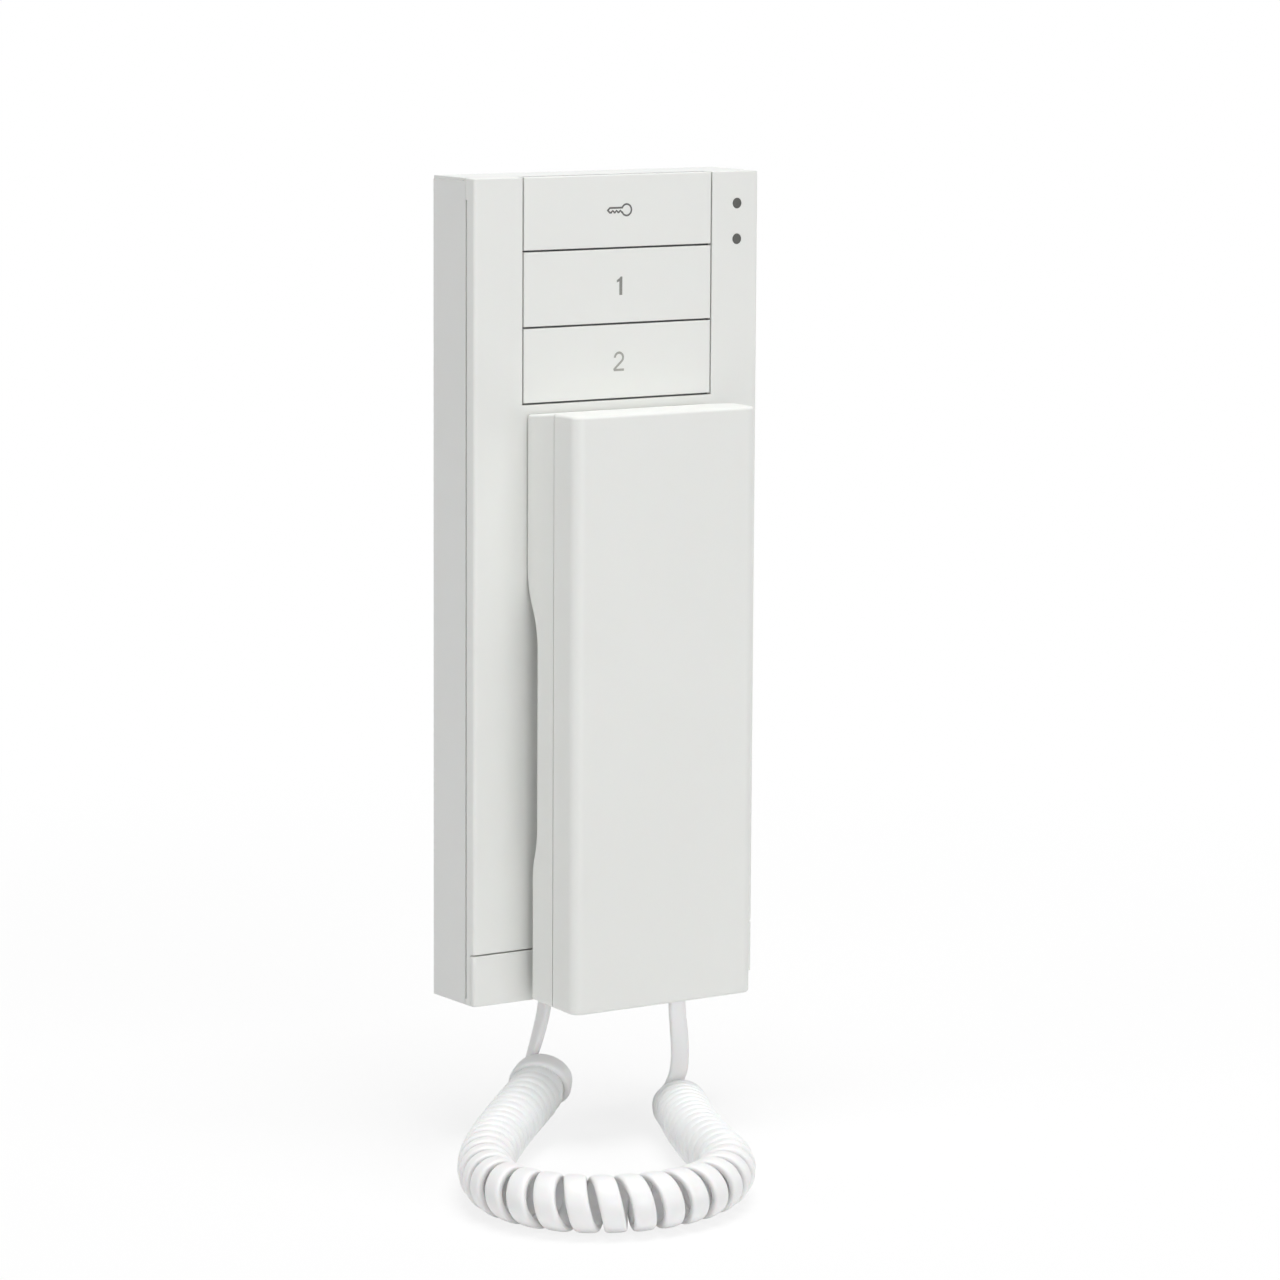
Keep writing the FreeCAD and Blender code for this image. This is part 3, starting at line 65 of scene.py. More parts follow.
# Power of the superellipse that the band's section is
BAND_ROUNDNESS = 3.2
BAND_SIDES = 20
# How far the band leans outwards in its curls, at the coil's two ends
BAND_LEAN = math.radians(9)
CURL_RADIUS = 6.1
# The curl next to the base is looser, and tightens over this many turns
FIRST_CURL_RADIUS = 7.3
FIRST_CURL_TURNS = 1.5
FIRST_TURN = 0.125
LAST_TURN = 47.5
CURL_POINTS = 16
# Distances between turns, and the places along the coil's axis between which they open
CLOSED_PITCH = 4.3
FIRST_PITCH = 6.0
FIRST_RUN = 6.0
OPEN_PITCH = 6.7
OPENS_AT = 42.0
CLOSES_AT = 210.0
PITCH_RAMP = 35.0
# Points that are read off each stretch of a NURBS line
AXIS_STEPS = 40
CORD_STEPS = 3
BASE_EXIT = (-15.0, -9.4, 0.3)
HANDSET_EXIT = (10.0, -36.2, 0.9)
# Each tail from its plug to the coil: the band's middle, and the direction of its width there
BASE_TAIL = (
    (BASE_EXIT, (0.0, 1.0, 0.0)),
    ((-15.0, -9.4, -3.5), (0.0, 1.0, 0.0)),
    ((-15.7, -9.3, -8.0), (0.05, 1.0, 0.0)),
    ((-16.9, -9.0, -12.8), (0.1, 1.0, 0.0)),
    ((-18.0, -8.5, -17.0), (0.2, 0.97, 0.0)),
    ((-18.7, -7.6, -20.5), (0.35, 0.9, 0.1)),
    ((-19.6, -6.2, -24.6), (0.55, 0.75, 0.3)),
)
HANDSET_TAIL = (
    (HANDSET_EXIT, (1.0, 0.0, 0.0)),
    ((10.0, -36.2, -3.5), (1.0, 0.0, 0.0)),
    ((10.7, -36.2, -9.5), (0.95, -0.3, 0.0)),
    ((11.4, -36.0, -16.0), (0.86, -0.5, 0.0)),
    ((11.5, -35.3, -22.0), (0.86, -0.5, 0.0)),
    ((10.0, -33.9, -26.0), (0.98, 0.1, 0.0)),
    ((7.2, -32.1, -28.3), (0.8, 0.6, 0.0)),
)
COIL_AXIS = (
    (-16.9, -11.6, -23.3),
    (-21.5, -15.6, -27.0),
    (-33.5, -26.5, -28.2),
    (-50.0, -42.0, -30.0),
    (-65.0, -59.5, -30.0),
    (-75.5, -76.5, -30.0),
    (-79.5, -92.0, -30.0),
    (-74.5, -108.0, -30.0),
    (-62.0, -117.5, -30.0),
    (-46.0, -120.0, -30.0),
    (-29.0, -114.0, -30.0),
    (-16.0, -100.0, -30.0),
    (-9.5, -80.0, -30.0),
    (-1.5, -61.0, -30.0),
    (6.0, -46.0, -30.0),
    (12.0, -34.6, -31.0),
)


# Camera

def add_camera():
    data = bpy.data.cameras.new("camera")
    data.lens = CAMERA_LENS
    data.sensor_width = CAMERA_SENSOR
    camera = bpy.data.objects.new("camera", data)
    bpy.context.scene.collection.objects.link(camera)
    level = math.cos(CAMERA_PITCH)
    back = Vector((-math.sin(CAMERA_YAW) * level, -math.cos(CAMERA_YAW) * level, math.sin(CAMERA_PITCH)))
    right = Vector((math.cos(CAMERA_YAW), -math.sin(CAMERA_YAW), 0))
    up = back.cross(right)
    tilted_right = right * math.cos(CAMERA_ROLL) + up * math.sin(CAMERA_ROLL)
    tilted_up = up * math.cos(CAMERA_ROLL) - right * math.sin(CAMERA_ROLL)
    turn = Matrix((tilted_right, tilted_up, back)).transposed()
    camera.matrix_world = Matrix.Translation(CAMERA_PLACE) @ turn.to_4x4()
    bpy.context.scene.camera = camera


add_camera()


# Curly cord

def place(point):
    """A point of the tables above in the frame's axes, still in mm."""
    x, y, height = point
    return np.array((x, y, height + UNIT_BOTTOM))


def read_spline(points, steps):
    """Points along the smooth NURBS line that has the given points as its control points."""
    curve = bpy.data.curves.new("route", "CURVE")
    curve.dimensions = "3D"
    spline = curve.splines.new("NURBS")
    spline.points.add(len(points) - 1)
    for control, point in zip(spline.points, points):
        control.co = (*point, 1)
    spline.order_u = 3
    spline.use_endpoint_u = True
    spline.resolution_u = steps
    route = bpy.data.objects.new("route", curve)
    mesh = bpy.data.meshes.new_from_object(route)
    line = np.array([vertex.co for vertex in mesh.vertices])
    bpy.data.objects.remove(route)
    bpy.data.curves.remove(curve)
    bpy.data.meshes.remove(mesh)
    return line


def distances(line):
    """How far along a line each of its points lies."""
    steps = np.linalg.norm(np.diff(line, axis=0), axis=1)
    return np.concatenate(([0.0], np.cumsum(steps)))


def unit(rows):
    return rows / np.linalg.norm(rows, axis=-1, keepdims=True)


def pick(at, along, rows):
    """Rows of a table read at places along it."""
    return np.stack([np.interp(at, along, rows[:, i]) for i in range(3)], axis=1)


def eased(share):
    """0 to 1 with a soft start and end."""
    share = np.clip(share, 0, 1)
    return share * share * (3 - 2 * share)


def pitch_at(s):
    """Distance between turns at a place along the axis: close in both arms, open in front."""
    open_share = eased((s - OPENS_AT) / PITCH_RAMP) * eased((CLOSES_AT - s) / PITCH_RAMP)
    first_share = eased(1 - s / FIRST_RUN)
    arms_and_front = CLOSED_PITCH + (OPEN_PITCH - CLOSED_PITCH) * open_share
    return arms_and_front + (FIRST_PITCH - CLOSED_PITCH) * first_share


def curls():
    """Control points of the curls round the coil's axis, and the band's width direction at each."""
    axis = read_spline([place(p) for p in COIL_AXIS], AXIS_STEPS)
    along = distances(axis)
    middle = (along[1:] + along[:-1]) / 2
    turned = np.concatenate(([0.0], np.cumsum(np.diff(along) / pitch_at(middle))))
    turn = np.linspace(FIRST_TURN, LAST_TURN, int((LAST_TURN - FIRST_TURN) * CURL_POINTS) + 1)
    share = (turn - FIRST_TURN) / (LAST_TURN - FIRST_TURN)
    s = np.interp(share * turned[-1], turned, along)
    centre = pick(s, along, axis)
    forward = unit(pick(s, along, np.gradient(axis, along, axis=0)))
    side = unit(np.cross(forward, (0, 0, 1)))
    up = np.cross(side, forward)
    loosening = np.clip(FIRST_CURL_TURNS - turn, 0, 1)[:, None]
    radius = CURL_RADIUS + (FIRST_CURL_RADIUS - CURL_RADIUS) * loosening
    # The line runs inside its control points, so they lie a little farther out
    radius = radius / math.cos(math.pi / CURL_POINTS)
    angle = 2 * np.pi * turn[:, None]
    outward = side * np.cos(angle) - up * np.sin(angle)
    lean = BAND_LEAN * np.cos(np.pi * s / along[-1])[:, None]
    return centre + outward * radius, forward * np.cos(lean) + outward * np.sin(lean)


def tail(rows, coil_wide):
    """Middle points and widths of a tail, as shares of the band's, signed to meet the coil's."""
    points = np.array([place(point) for point, _ in rows])
    wide = unit(np.array([direction for _, direction in rows])) * TAIL_WIDTH / BAND_WIDTH
    return points, wide if wide[-1] @ coil_wide > 0 else -wide


def cord_lines():
    """The cord's middle line, and directions across it, as long as its width is in band widths."""
    coil, wide = curls()
    base_tail, base_wide = tail(BASE_TAIL, wide[0])
    handset_tail, handset_wide = tail(HANDSET_TAIL, wide[-1])
    handset_tail, handset_wide = handset_tail[::-1], handset_wide[::-1]
    points = np.concatenate([base_tail, coil, handset_tail])
    widths = np.concatenate([base_wide, wide, handset_wide])
    line = read_spline(points, CORD_STEPS)
    edge = read_spline(points + widths, CORD_STEPS)
    return line, edge - line


def band_section():
    """Outline of the flat cord, across its width and through it: a rectangle with well rounded sides."""
    angle = 2 * np.pi * (np.arange(BAND_SIDES) + 0.5) / BAND_SIDES
    power = 2 / BAND_ROUNDNESS
    x = np.sign(np.cos(angle)) * np.abs(np.cos(angle)) ** power * BAND_WIDTH / 2
    y = np.sign(np.sin(angle)) * np.abs(np.sin(angle)) ** power * BAND_THICKNESS / 2
    return x, y


def add_cord(material):
    """The flat cord from plug to plug, in place of the round one of the CAD."""
    line, wide = cord_lines()
    forward = unit(np.gradient(line, axis=0))
    share = np.linalg.norm(wide, axis=1)[:, None, None]
    wide = unit(wide - forward * np.sum(wide * forward, axis=1, keepdims=True))
    thick = np.cross(forward, wide)
    x, y = band_section()
    rings = line[:, None] + wide[:, None] * x[None, :, None] * share + thick[:, None] * y[None, :, None]
    count = len(line)
    faces = []
    for i in range(count - 1):
        for j in range(BAND_SIDES):
            k = (j + 1) % BAND_SIDES
            faces.append((i * BAND_SIDES + j, i * BAND_SIDES + k,
                          (i + 1) * BAND_SIDES + k, (i + 1) * BAND_SIDES + j))
    faces.append(tuple(range(BAND_SIDES))[::-1])
    faces.append(tuple(range((count - 1) * BAND_SIDES, count * BAND_SIDES)))
    mesh = bpy.data.meshes.new("curly_cord")
    mesh.from_pydata((rings.reshape(-1, 3) * MM).tolist(), [], faces)
    mesh.shade_smooth()
    mesh.materials.append(material)
    cord = bpy.data.objects.new("curly_cord", mesh)
    bpy.context.scene.collection.objects.link(cord)
    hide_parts("cord_coil", "cord_base_end", "cord_handset_end")
    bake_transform(cord)
    return cord


# Material helpers

def colour(hex_code):
    """sRGB hex to the linear colour that the shaders take."""
    parts = [int(hex_code[i:i + 2], 16) / 255 for i in (0, 2, 4)]
    linear = [c / 12.92 if c <= 0.04045 else ((c + 0.055) / 1.055) ** 2.4 for c in parts]
    return (*linear, 1.0)


def add(tree, kind, settings=None, links=None):
    """Adds a node with its settings and the links into its sockets."""
    made = tree.nodes.new("ShaderNode" + kind)
    for name, value in (settings or {}).items():
        if isinstance(name, int) or name in made.inputs:
            made.inputs[name].default_value = value
        else:
            setattr(made, name, value)
    for name, source in (links or {}).items():
        tree.links.new(source, made.inputs[name])
    return made


def new_material(name):
    material = bpy.data.materials.new(name)
    material.use_nodes = True
    tree = material.node_tree
    tree.nodes.clear()
    output = add(tree, "OutputMaterial")
    return material, tree, output


def size_of(millimetres):
    """Texture scale for a pattern whose spots lie that far apart."""
    return 1 / (millimetres * MM)


def mottled(tree, first, second, spacing, detail=3.0):
    """Colour that drifts between two close tones over a real distance."""
    place_node = add(tree, "TexCoord")
    noise = add(tree, "TexNoise", {"Scale": size_of(spacing), "Detail": detail},
                {"Vector": place_node.outputs["Object"]})
    return add(tree, "MixRGB", {"Color1": colour(first), "Color2": colour(second)},
               {"Fac": noise.outputs["Fac"]}).outputs["Color"]


def between(tree, source, low, high):
    """A pattern's 0.3 to 0.7 spread over a range."""
    made = add(tree, "MapRange", {"From Min": 0.3, "From Max": 0.7, "To Min": low, "To Max": high},
               {"Value": source})
    return made.outputs["Result"]


def grain(tree, spacing, depth, edge_radius, strength=1.0, detail=2.0):
    """Fine surface grain over edges rounded as a mould leaves them; depth and radius in millimetres."""
    place_node = add(tree, "TexCoord")
    noise = add(tree, "TexNoise", {"Scale": size_of(spacing), "Detail": detail},
                {"Vector": place_node.outputs["Object"]})
    round_edge = add(tree, "Bevel", {"samples": 4, "Radius": edge_radius * MM})
    bump = add(tree, "Bump", {"Strength": strength, "Distance": depth * MM},
               {"Height": noise.outputs["Fac"], "Normal": round_edge.outputs["Normal"]})
    return noise.outputs["Fac"], bump.outputs["Normal"], round_edge.outputs["Normal"]


def edge_share(tree, rounded_normal):
    """1 on sharp edges and 0 on faces, from how far the rounded normal turns from the true one."""
    geometry = add(tree, "NewGeometry")
    dot = add(tree, "VectorMath", {"operation": "DOT_PRODUCT"},
              {0: rounded_normal, 1: geometry.outputs["Normal"]})
    made = add(tree, "MapRange", {"From Min": 0.995, "From Max": 0.80, "To Min": 0.0, "To Max": 1.0},
               {"Value": dot.outputs["Value"]})
    return made.outputs["Result"]


# Materials: each is named for the real one

# Heights of the first and the third mark; the ink gets lighter from one down to the other
INK_DARKEST_AT = 0.1005
INK_LIGHTEST_AT = 0.0605
# White ABS, in mm: how far apart its tones drift, the radius of its edges, and how far and how much a
# seam's painted shade darkens it
ABS_TONE_DRIFT = 42
ABS_EDGE_RADIUS = 0.3
SEAM_SHADE_REACH = 2.5
SEAM_SHADE = 0.12
# Waves in one unit of Blender's wave texture at scale 1
WAVES_IN_A_UNIT = 3.2


def moulded_abs(name, light, dark, roughness, grain_spacing, grain_depth):
    """White ABS from a spark-eroded mould: satin, edges polished by handling and painted lighter as a
    highlight, seams darkened with painted shade.

    The real grain of about 0.1 mm is too fine to show, so it is drawn at about 0.4 mm.
    """
    material, tree, output = new_material(name)
    tone = mottled(tree, light, dark, ABS_TONE_DRIFT)
    spots, normal, rounded = grain(tree, grain_spacing, grain_depth, ABS_EDGE_RADIUS)
    edges = edge_share(tree, rounded)
    # Painted shade: ambient occlusion darkens seams, gaps and recesses towards a grey
    seam = add(tree, "AmbientOcclusion", {"samples": 4, "Distance": SEAM_SHADE_REACH * MM},
               {"Normal": rounded})
    painted_seam_shade = between(tree, seam.outputs["AO"], SEAM_SHADE, 0.0)
    seam_shaded_tone = add(tree, "MixRGB", {"Color2": colour("9C9A94")}, {"Fac": painted_seam_shade, "Color1": tone})
    # Painted highlight: edges are painted lighter; only the lower roughness there stands for polish
    painted_edge_highlight = add(tree, "MixRGB", {"Color2": colour("F4F5F2")},
               {"Fac": edges, "Color1": seam_shaded_tone.outputs["Color"]})
    satin = between(tree, spots, roughness - 0.03, roughness + 0.05)
    polished = add(tree, "MixRGB", {"Color2": (0.3, 0.3, 0.3, 1)}, {"Fac": edges, "Color1": satin})
    shader = add(tree, "BsdfPrincipled",
                 {"IOR": 1.53, "Subsurface Weight": 0.03, "Subsurface Scale": 0.4 * MM},
                 {"Base Color": painted_edge_highlight.outputs["Color"], "Roughness": polished.outputs["Color"],
                  "Normal": normal})
    tree.links.new(shader.outputs["BSDF"], output.inputs["Surface"])
    return material


def plain_plastic(name, light, dark, roughness, ior, spacing=6.0, grain_spacing=0.5, grain_depth=0.01,
                  edge_radius=0.15):
    """Moulded plastic of one colour: slight drift of tone, fine grain, softened edges painted in the
    lighter tone as a highlight.

    The real grain is too fine to show, so it is drawn at the spacing given here.
    """
    material, tree, output = new_material(name)
    tone = mottled(tree, light, dark, spacing)
    spots, normal, rounded = grain(tree, grain_spacing, grain_depth, edge_radius)
    edges = edge_share(tree, rounded)
    # Painted highlight: edges are painted in the lighter tone
    painted_edge_highlight = add(tree, "MixRGB", {"Color2": colour(light)}, {"Fac": edges, "Color1": tone})
    satin = between(tree, spots, roughness - 0.06, roughness + 0.06)
    shader = add(tree, "BsdfPrincipled", {"IOR": ior},
                 {"Base Color": painted_edge_highlight.outputs["Color"], "Roughness": satin, "Normal": normal})
    tree.links.new(shader.outputs["BSDF"], output.inputs["Surface"])
    return material


def plated_metal(name, light, dark, roughness, scratch_spacing, stretch):
    """Plated sheet or screw: metal that drifts in tone, with fine drawn lines along one direction."""
    material, tree, output = new_material(name)
    tone = mottled(tree, light, dark, 3.0)
    place_node = add(tree, "TexCoord")
    drawn = add(tree, "Mapping", {"Scale": (1.0, 1.0, stretch)}, {"Vector": place_node.outputs["Object"]})
    lines = add(tree, "TexNoise", {"Scale": size_of(scratch_spacing), "Detail": 4.0},
                {"Vector": drawn.outputs["Vector"]})
    round_edge = add(tree, "Bevel", {"samples": 4, "Radius": 0.12 * MM})
    bump = add(tree, "Bump", {"Strength": 0.6, "Distance": 0.006 * MM},
               {"Height": lines.outputs["Fac"], "Normal": round_edge.outputs["Normal"]})
    satin = between(tree, lines.outputs["Fac"], roughness - 0.07, roughness + 0.09)
    shader = add(tree, "BsdfPrincipled", {"Metallic": 1.0},
                 {"Base Color": tone, "Roughness": satin, "Normal": bump.outputs["Normal"]})
    tree.links.new(shader.outputs["BSDF"], output.inputs["Surface"])
    return material


def cord_pvc():
    """Soft PVC jacket, extruded flat: silky sheen, faint unevenness, light that goes a little way in, and
    painted shade that darkens the insides of the curls.
    """
    material, tree, output = new_material("soft_pvc_cord_jacket")
    tone = mottled(tree, "F7F7F7", "F3F3F3", 9.0)
    spots, normal, _ = grain(tree, 0.7, 0.012, 0.1)
    # Painted shade: ambient occlusion darkens the faces inside and between the curls towards a grey
    deep = add(tree, "AmbientOcclusion", {"samples": 4, "Distance": 5 * MM})
    painted_curl_shade = add(tree, "MapRange", {"From Min": 0.1, "From Max": 0.55, "To Min": 0.35, "To Max": 0.0},
                {"Value": deep.outputs["AO"]})
    shaded = add(tree, "MixRGB", {"Color2": colour("B9B8AE")},
                 {"Fac": painted_curl_shade.outputs["Result"], "Color1": tone})
    silky = between(tree, spots, 0.34, 0.44)
    shader = add(tree, "BsdfPrincipled",
                 {"IOR": 1.53, "Subsurface Weight": 0.12, "Subsurface Scale": 1.2 * MM,
                  "Sheen Weight": 0.05},
                 {"Base Color": shaded.outputs["Color"], "Roughness": silky, "Normal": normal})
    tree.links.new(shader.outputs["BSDF"], output.inputs["Surface"])
    return material


def pad_ink():
    """Two-part ink printed through a pad: flat grey film, lighter on each lower mark."""
    material, tree, output = new_material("pad_printed_grey_ink")
    dark_ink = mottled(tree, "686866", "60605E", 0.6)
    light_ink = mottled(tree, "A8A8A2", "A0A09A", 0.6)
    place_node = add(tree, "TexCoord")
    height = add(tree, "SeparateXYZ", {}, {"Vector": place_node.outputs["Object"]})
    low = add(tree, "MapRange",
              {"From Min": INK_DARKEST_AT, "From Max": INK_LIGHTEST_AT, "To Min": 0.0, "To Max": 1.0},
              {"Value": height.outputs["Z"]})
    tone = add(tree, "MixRGB", {}, {"Fac": low.outputs["Result"], "Color1": dark_ink, "Color2": light_ink})
    spots, normal, _ = grain(tree, 0.25, 0.01, 0.05)
    satin = between(tree, spots, 0.42, 0.52)
    shader = add(tree, "BsdfPrincipled", {"IOR": 1.5},
                 {"Base Color": tone.outputs["Color"], "Roughness": satin, "Normal": normal})
    tree.links.new(shader.outputs["BSDF"], output.inputs["Surface"])
    return material


def smoke_polycarbonate():
    """Smoke-tinted polycarbonate light pipe: dark, glossy, a little light passes through."""
    material, tree, output = new_material("smoke_polycarbonate_pipe")
    tone = mottled(tree, "6C6C68", "62625E", 1.2)
    spots, normal, _ = grain(tree, 0.4, 0.004, 0.15)
    clear = between(tree, spots, 0.12, 0.2)
    shader = add(tree, "BsdfPrincipled", {"IOR": 1.585, "Transmission Weight": 0.35},
                 {"Base Color": tone, "Roughness": clear, "Normal": normal})
    tree.links.new(shader.outputs["BSDF"], output.inputs["Surface"])
    return material


def clear_polycarbonate():
    """Clear moulded plug body: glassy, faint flow lines."""
    material, tree, output = new_material("clear_polycarbonate_plug")
    tone = mottled(tree, "F6F8F6", "ECF0EE", 3.0)
    spots, normal, _ = grain(tree, 1.5, 0.01, 0.12)
    clear = between(tree, spots, 0.05, 0.12)
    shader = add(tree, "BsdfPrincipled", {"IOR": 1.585, "Transmission Weight": 0.9},
                 {"Base Color": tone, "Roughness": clear, "Normal": normal})
    tree.links.new(shader.outputs["BSDF"], output.inputs["Surface"])
    return material


def track_lines(tree, vector, direction, spacing):
    """1 on straight copper tracks a real distance apart, 0 between them."""
    bands = add(tree, "TexWave",
                {"bands_direction": direction, "Scale": size_of(spacing) / WAVES_IN_A_UNIT},
                {"Vector": vector})
    made = add(tree, "MapRange", {"From Min": 0.72, "From Max": 0.8}, {"Value": bands.outputs["Fac"]})
    return made.outputs["Result"]


def circuit_laminate():
    """Glass-epoxy board under green solder mask: copper tracks show as lighter lines, weave as fine bump.

    The board is parted into areas, each with tracks in one of two directions or none. Real tracks lie
    under 1 mm apart; these are drawn 2 mm apart, so that they show.
    """
    material, tree, output = new_material("glass_epoxy_circuit_board")
    place_node = add(tree, "TexCoord")
    turned_flat = add(tree, "Mapping", {"Rotation": (math.radians(90), 0, 0)},
                      {"Vector": place_node.outputs["Object"]})
    flat = turned_flat.outputs["Vector"]
    areas = add(tree, "TexVoronoi", {"distance": "CHEBYCHEV", "Scale": size_of(16)}, {"Vector": flat})
    which = add(tree, "SeparateXYZ", {}, {"Vector": areas.outputs["Color"]})
    across = track_lines(tree, flat, "X", 2.5)
    upward = track_lines(tree, flat, "Y", 1.9)
    rising = add(tree, "Math", {"operation": "GREATER_THAN", 1: 0.5}, {0: which.outputs["X"]})
    routed = add(tree, "Math", {"operation": "LESS_THAN", 1: 0.7}, {0: which.outputs["Y"]})
    lines = add(tree, "MixRGB", {}, {"Fac": rising.outputs["Value"], "Color1": across, "Color2": upward})
    shown = add(tree, "Math", {"operation": "MULTIPLY"},
                {0: lines.outputs["Color"], 1: routed.outputs["Value"]})
    mask_green = mottled(tree, "1F6B3A", "247242", 5.0)
    tracks = add(tree, "MixRGB", {"Color2": colour("3F8C50")},
                 {"Fac": shown.outputs["Value"], "Color1": mask_green})
    weave = add(tree, "TexWave", {"Scale": size_of(1.2), "Distortion": 0.4}, {"Vector": flat})
    round_edge = add(tree, "Bevel", {"samples": 4, "Radius": 0.1 * MM})
    bump = add(tree, "Bump", {"Strength": 0.5, "Distance": 0.02 * MM},
               {"Height": weave.outputs["Fac"], "Normal": round_edge.outputs["Normal"]})
    gloss = between(tree, weave.outputs["Fac"], 0.25, 0.34)
    shader = add(tree, "BsdfPrincipled", {"IOR": 1.55, "Coat Weight": 0.3, "Coat Roughness": 0.15},
                 {"Base Color": tracks.outputs["Color"], "Roughness": gloss,
                  "Normal": bump.outputs["Normal"]})
    tree.links.new(shader.outputs["BSDF"], output.inputs["Surface"])
    return material


def led_epoxy():
    """White LED body: milky epoxy that lets light in."""
    material, tree, output = new_material("milky_led_epoxy")
    tone = mottled(tree, "F2EFDC", "E8E2C4", 1.0)
    spots, normal, _ = grain(tree, 0.3, 0.004, 0.1)
    gloss = between(tree, spots, 0.2, 0.3)
    shader = add(tree, "BsdfPrincipled",
                 {"IOR": 1.5, "Subsurface Weight": 0.4, "Subsurface Scale": 0.5 * MM},
                 {"Base Color": tone, "Roughness": gloss, "Normal": normal})
    tree.links.new(shader.outputs["BSDF"], output.inputs["Surface"])
    return material


def finishes():
    """One material for each finish that the record names."""
    return {
        "housing_white": moulded_abs("moulded_abs_rear_housing", "E9EAE8", "E4E5E3", 0.5, 0.45, 0.012),
        "cover_white": moulded_abs("moulded_abs_covers_and_handset", "ECEDEA", "E8E9E6", 0.42, 0.4, 0.008),
        "button_white": moulded_abs("moulded_abs_buttons", "ECEDEA", "E9EAE7", 0.4, 0.4, 0.006),
        "mark_grey": pad_ink(),
        "switch_black": plain_plastic("black_nylon_switches_and_chips", "2B2B2C", "1F1F20", 0.45, 1.53),
        "capsule_metal": plated_metal("nickel_plated_capsules", "C9C7C0", "B4B2AA", 0.3, 0.4, 6.0),
        "frame_grey": plain_plastic("grey_abs_button_frame", "77777A", "6D6D70", 0.5, 1.53),
        "board_green": circuit_laminate(),
        "capacitor_metal": plated_metal("aluminium_capacitor_cans", "C6C9CC", "AEB2B6", 0.32, 0.3, 8.0),
        "terminal_green": plain_plastic("green_nylon_terminal_block", "2F8F4C", "287E42", 0.42, 1.53),
        "screw_steel": plated_metal("zinc_plated_screws", "C3C5C8", "A3A6A9", 0.34, 0.25, 3.0),
        "led_white": led_epoxy(),
        "pipe_smoke": smoke_polycarbonate(),
        "bumper_rubber": plain_plastic("grey_silicone_rubber_bumper", "A9AAA8", "9C9D9B", 0.7, 1.41,
                                       grain_spacing=0.3, grain_depth=0.02),
        "socket_grey": plain_plastic("grey_nylon_cord_sockets", "8E8F90", "828384", 0.48, 1.53),
        "plug_clear": clear_polycarbonate(),
        "cord_white": cord_pvc(),
        "wire_red": plain_plastic("red_pvc_wire_jacket", "A8322C", "952923", 0.4, 1.53),
    }


finish = finishes()
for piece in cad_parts.values():
    for slot in piece.material_slots:
        slot.material = finish[slot.material.name.split(".")[0]]

add_cord(finish["cord_white"])


# Floor, backdrop and light

FLOOR_SIZE = 12.0
# The floor lies this far under the lowest point
FLOOR_GAP = 0.0001
# Share of plain white in how the floor looks at the object; it rises to 1 between the two distances
FLOOR_GLOW = 0.8
FLOOR_GLOW_FROM = 0.2
FLOOR_GLOW_TO = 0.6
SKY_LIGHT = 0.18
PANELS = (
    # name, place, aimed at, width, height, watts
    ("top_panel", (0, -0.35, 1.9), (0, -0.03, 0), 1.4, 1.0, 31.0),
    ("front_panel", (0, -1.9, 0.0), (0, -0.03, 0), 1.4, 1.4, 18.0),
    ("left_panel", (-1.9, -0.2, 0.3), (0, -0.03, 0), 1.2, 1.4, 7.0),
)


def seen_directly(tree):
    """1 for rays from the camera, in a reflection or through clear plastic, 0 for light on a surface."""
    path = add(tree, "LightPath")
    first = add(tree, "Math", {"operation": "MAXIMUM"},
                {0: path.outputs["Is Camera Ray"], 1: path.outputs["Is Glossy Ray"]})
    both = add(tree, "Math", {"operation": "MAXIMUM"},
               {0: first.outputs["Value"], 1: path.outputs["Is Transmission Ray"]})
    return both.outputs["Value"]


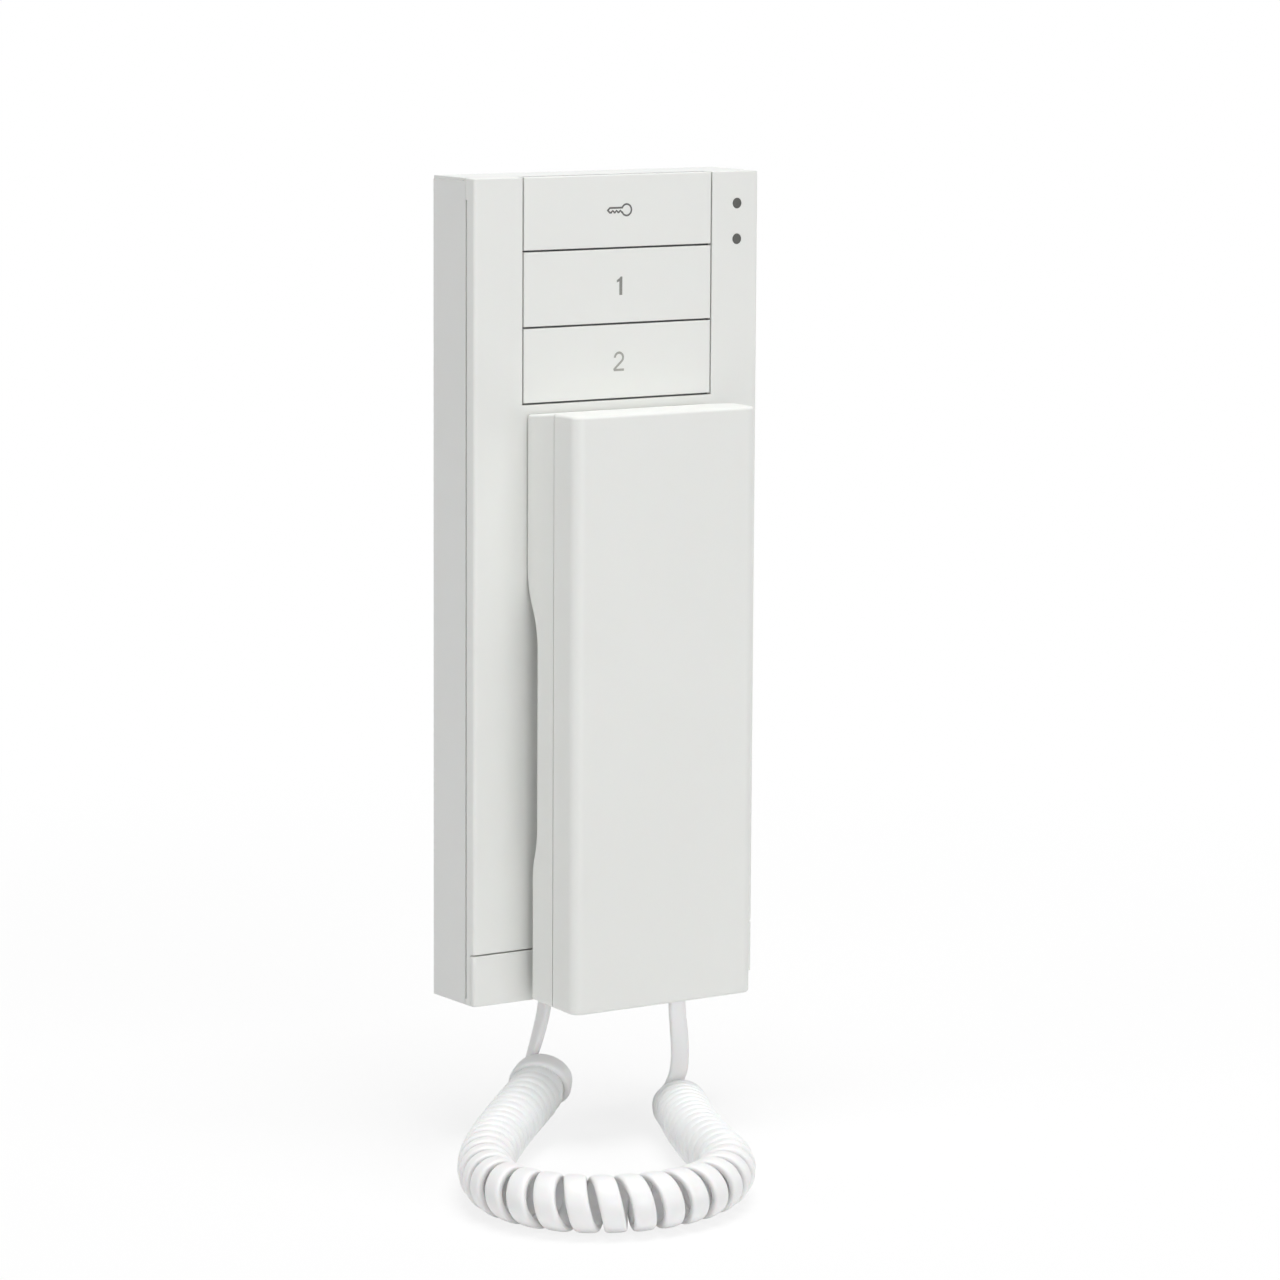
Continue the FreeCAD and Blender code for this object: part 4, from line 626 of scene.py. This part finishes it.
def add_floor(low):
    """Pale floor just under the cord; it looks white and keeps the object's shadow."""
    mesh = bpy.data.meshes.new("studio_floor")
    half = FLOOR_SIZE / 2
    corners = [(-half, -half, low), (half, -half, low), (half, half, low), (-half, half, low)]
    mesh.from_pydata(corners, [], [(0, 1, 2, 3)])
    floor = bpy.data.objects.new("studio_floor", mesh)
    bpy.context.scene.collection.objects.link(floor)
    material, tree, output = new_material("white_painted_studio_floor")
    paint = add(tree, "BsdfDiffuse", {"Roughness": 1.0},
                {"Color": mottled(tree, "FAFAFA", "F8F8F8", 120)})
    glow = add(tree, "Emission", {"Color": (1, 1, 1, 1), "Strength": 1.0})
    place_node = add(tree, "TexCoord")
    away = add(tree, "VectorMath", {"operation": "LENGTH"}, {0: place_node.outputs["Object"]})
    rising = add(tree, "MapRange", {"interpolation_type": "SMOOTHSTEP", "From Min": FLOOR_GLOW_FROM,
                                    "From Max": FLOOR_GLOW_TO, "To Min": FLOOR_GLOW, "To Max": 1.0},
                 {"Value": away.outputs["Value"]})
    share = add(tree, "Math", {"operation": "MULTIPLY"},
                {0: seen_directly(tree), 1: rising.outputs["Result"]})
    mixed = add(tree, "MixShader", {}, {0: share.outputs["Value"], 1: paint.outputs["BSDF"],
                                        2: glow.outputs["Emission"]})
    tree.links.new(mixed.outputs["Shader"], output.inputs["Surface"])
    mesh.materials.append(material)
    floor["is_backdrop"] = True


def add_sky():
    """White all round where it is seen, plain soft light where it falls on the object."""
    world = bpy.data.worlds.new("studio")
    bpy.context.scene.world = world
    world.use_nodes = True
    tree = world.node_tree
    tree.nodes.clear()
    output = add(tree, "OutputWorld")
    light = add(tree, "Background", {"Color": (1, 1, 1, 1), "Strength": SKY_LIGHT})
    white = add(tree, "Background", {"Color": (1, 1, 1, 1), "Strength": 1.0})
    mixed = add(tree, "MixShader", {}, {0: seen_directly(tree), 1: light.outputs["Background"],
                                        2: white.outputs["Background"]})
    tree.links.new(mixed.outputs["Shader"], output.inputs["Surface"])


def add_panel(name, position, target, width, height, watts):
    """Soft box: a rectangle of light, turned to face its target."""
    data = bpy.data.lights.new(name, "AREA")
    data.shape = "RECTANGLE"
    data.size = width
    data.size_y = height
    data.energy = watts
    lamp = bpy.data.objects.new(name, data)
    lamp.location = position
    lamp.rotation_mode = "QUATERNION"
    lamp.rotation_quaternion = (Vector(target) - Vector(position)).to_track_quat("-Z", "Y")
    bpy.context.scene.collection.objects.link(lamp)


add_floor(min(cad_box[0][2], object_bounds()[0][2]) - FLOOR_GAP)
add_sky()
for panel in PANELS:
    add_panel(*panel)

view = bpy.context.scene.view_settings
view.view_transform = "Standard"
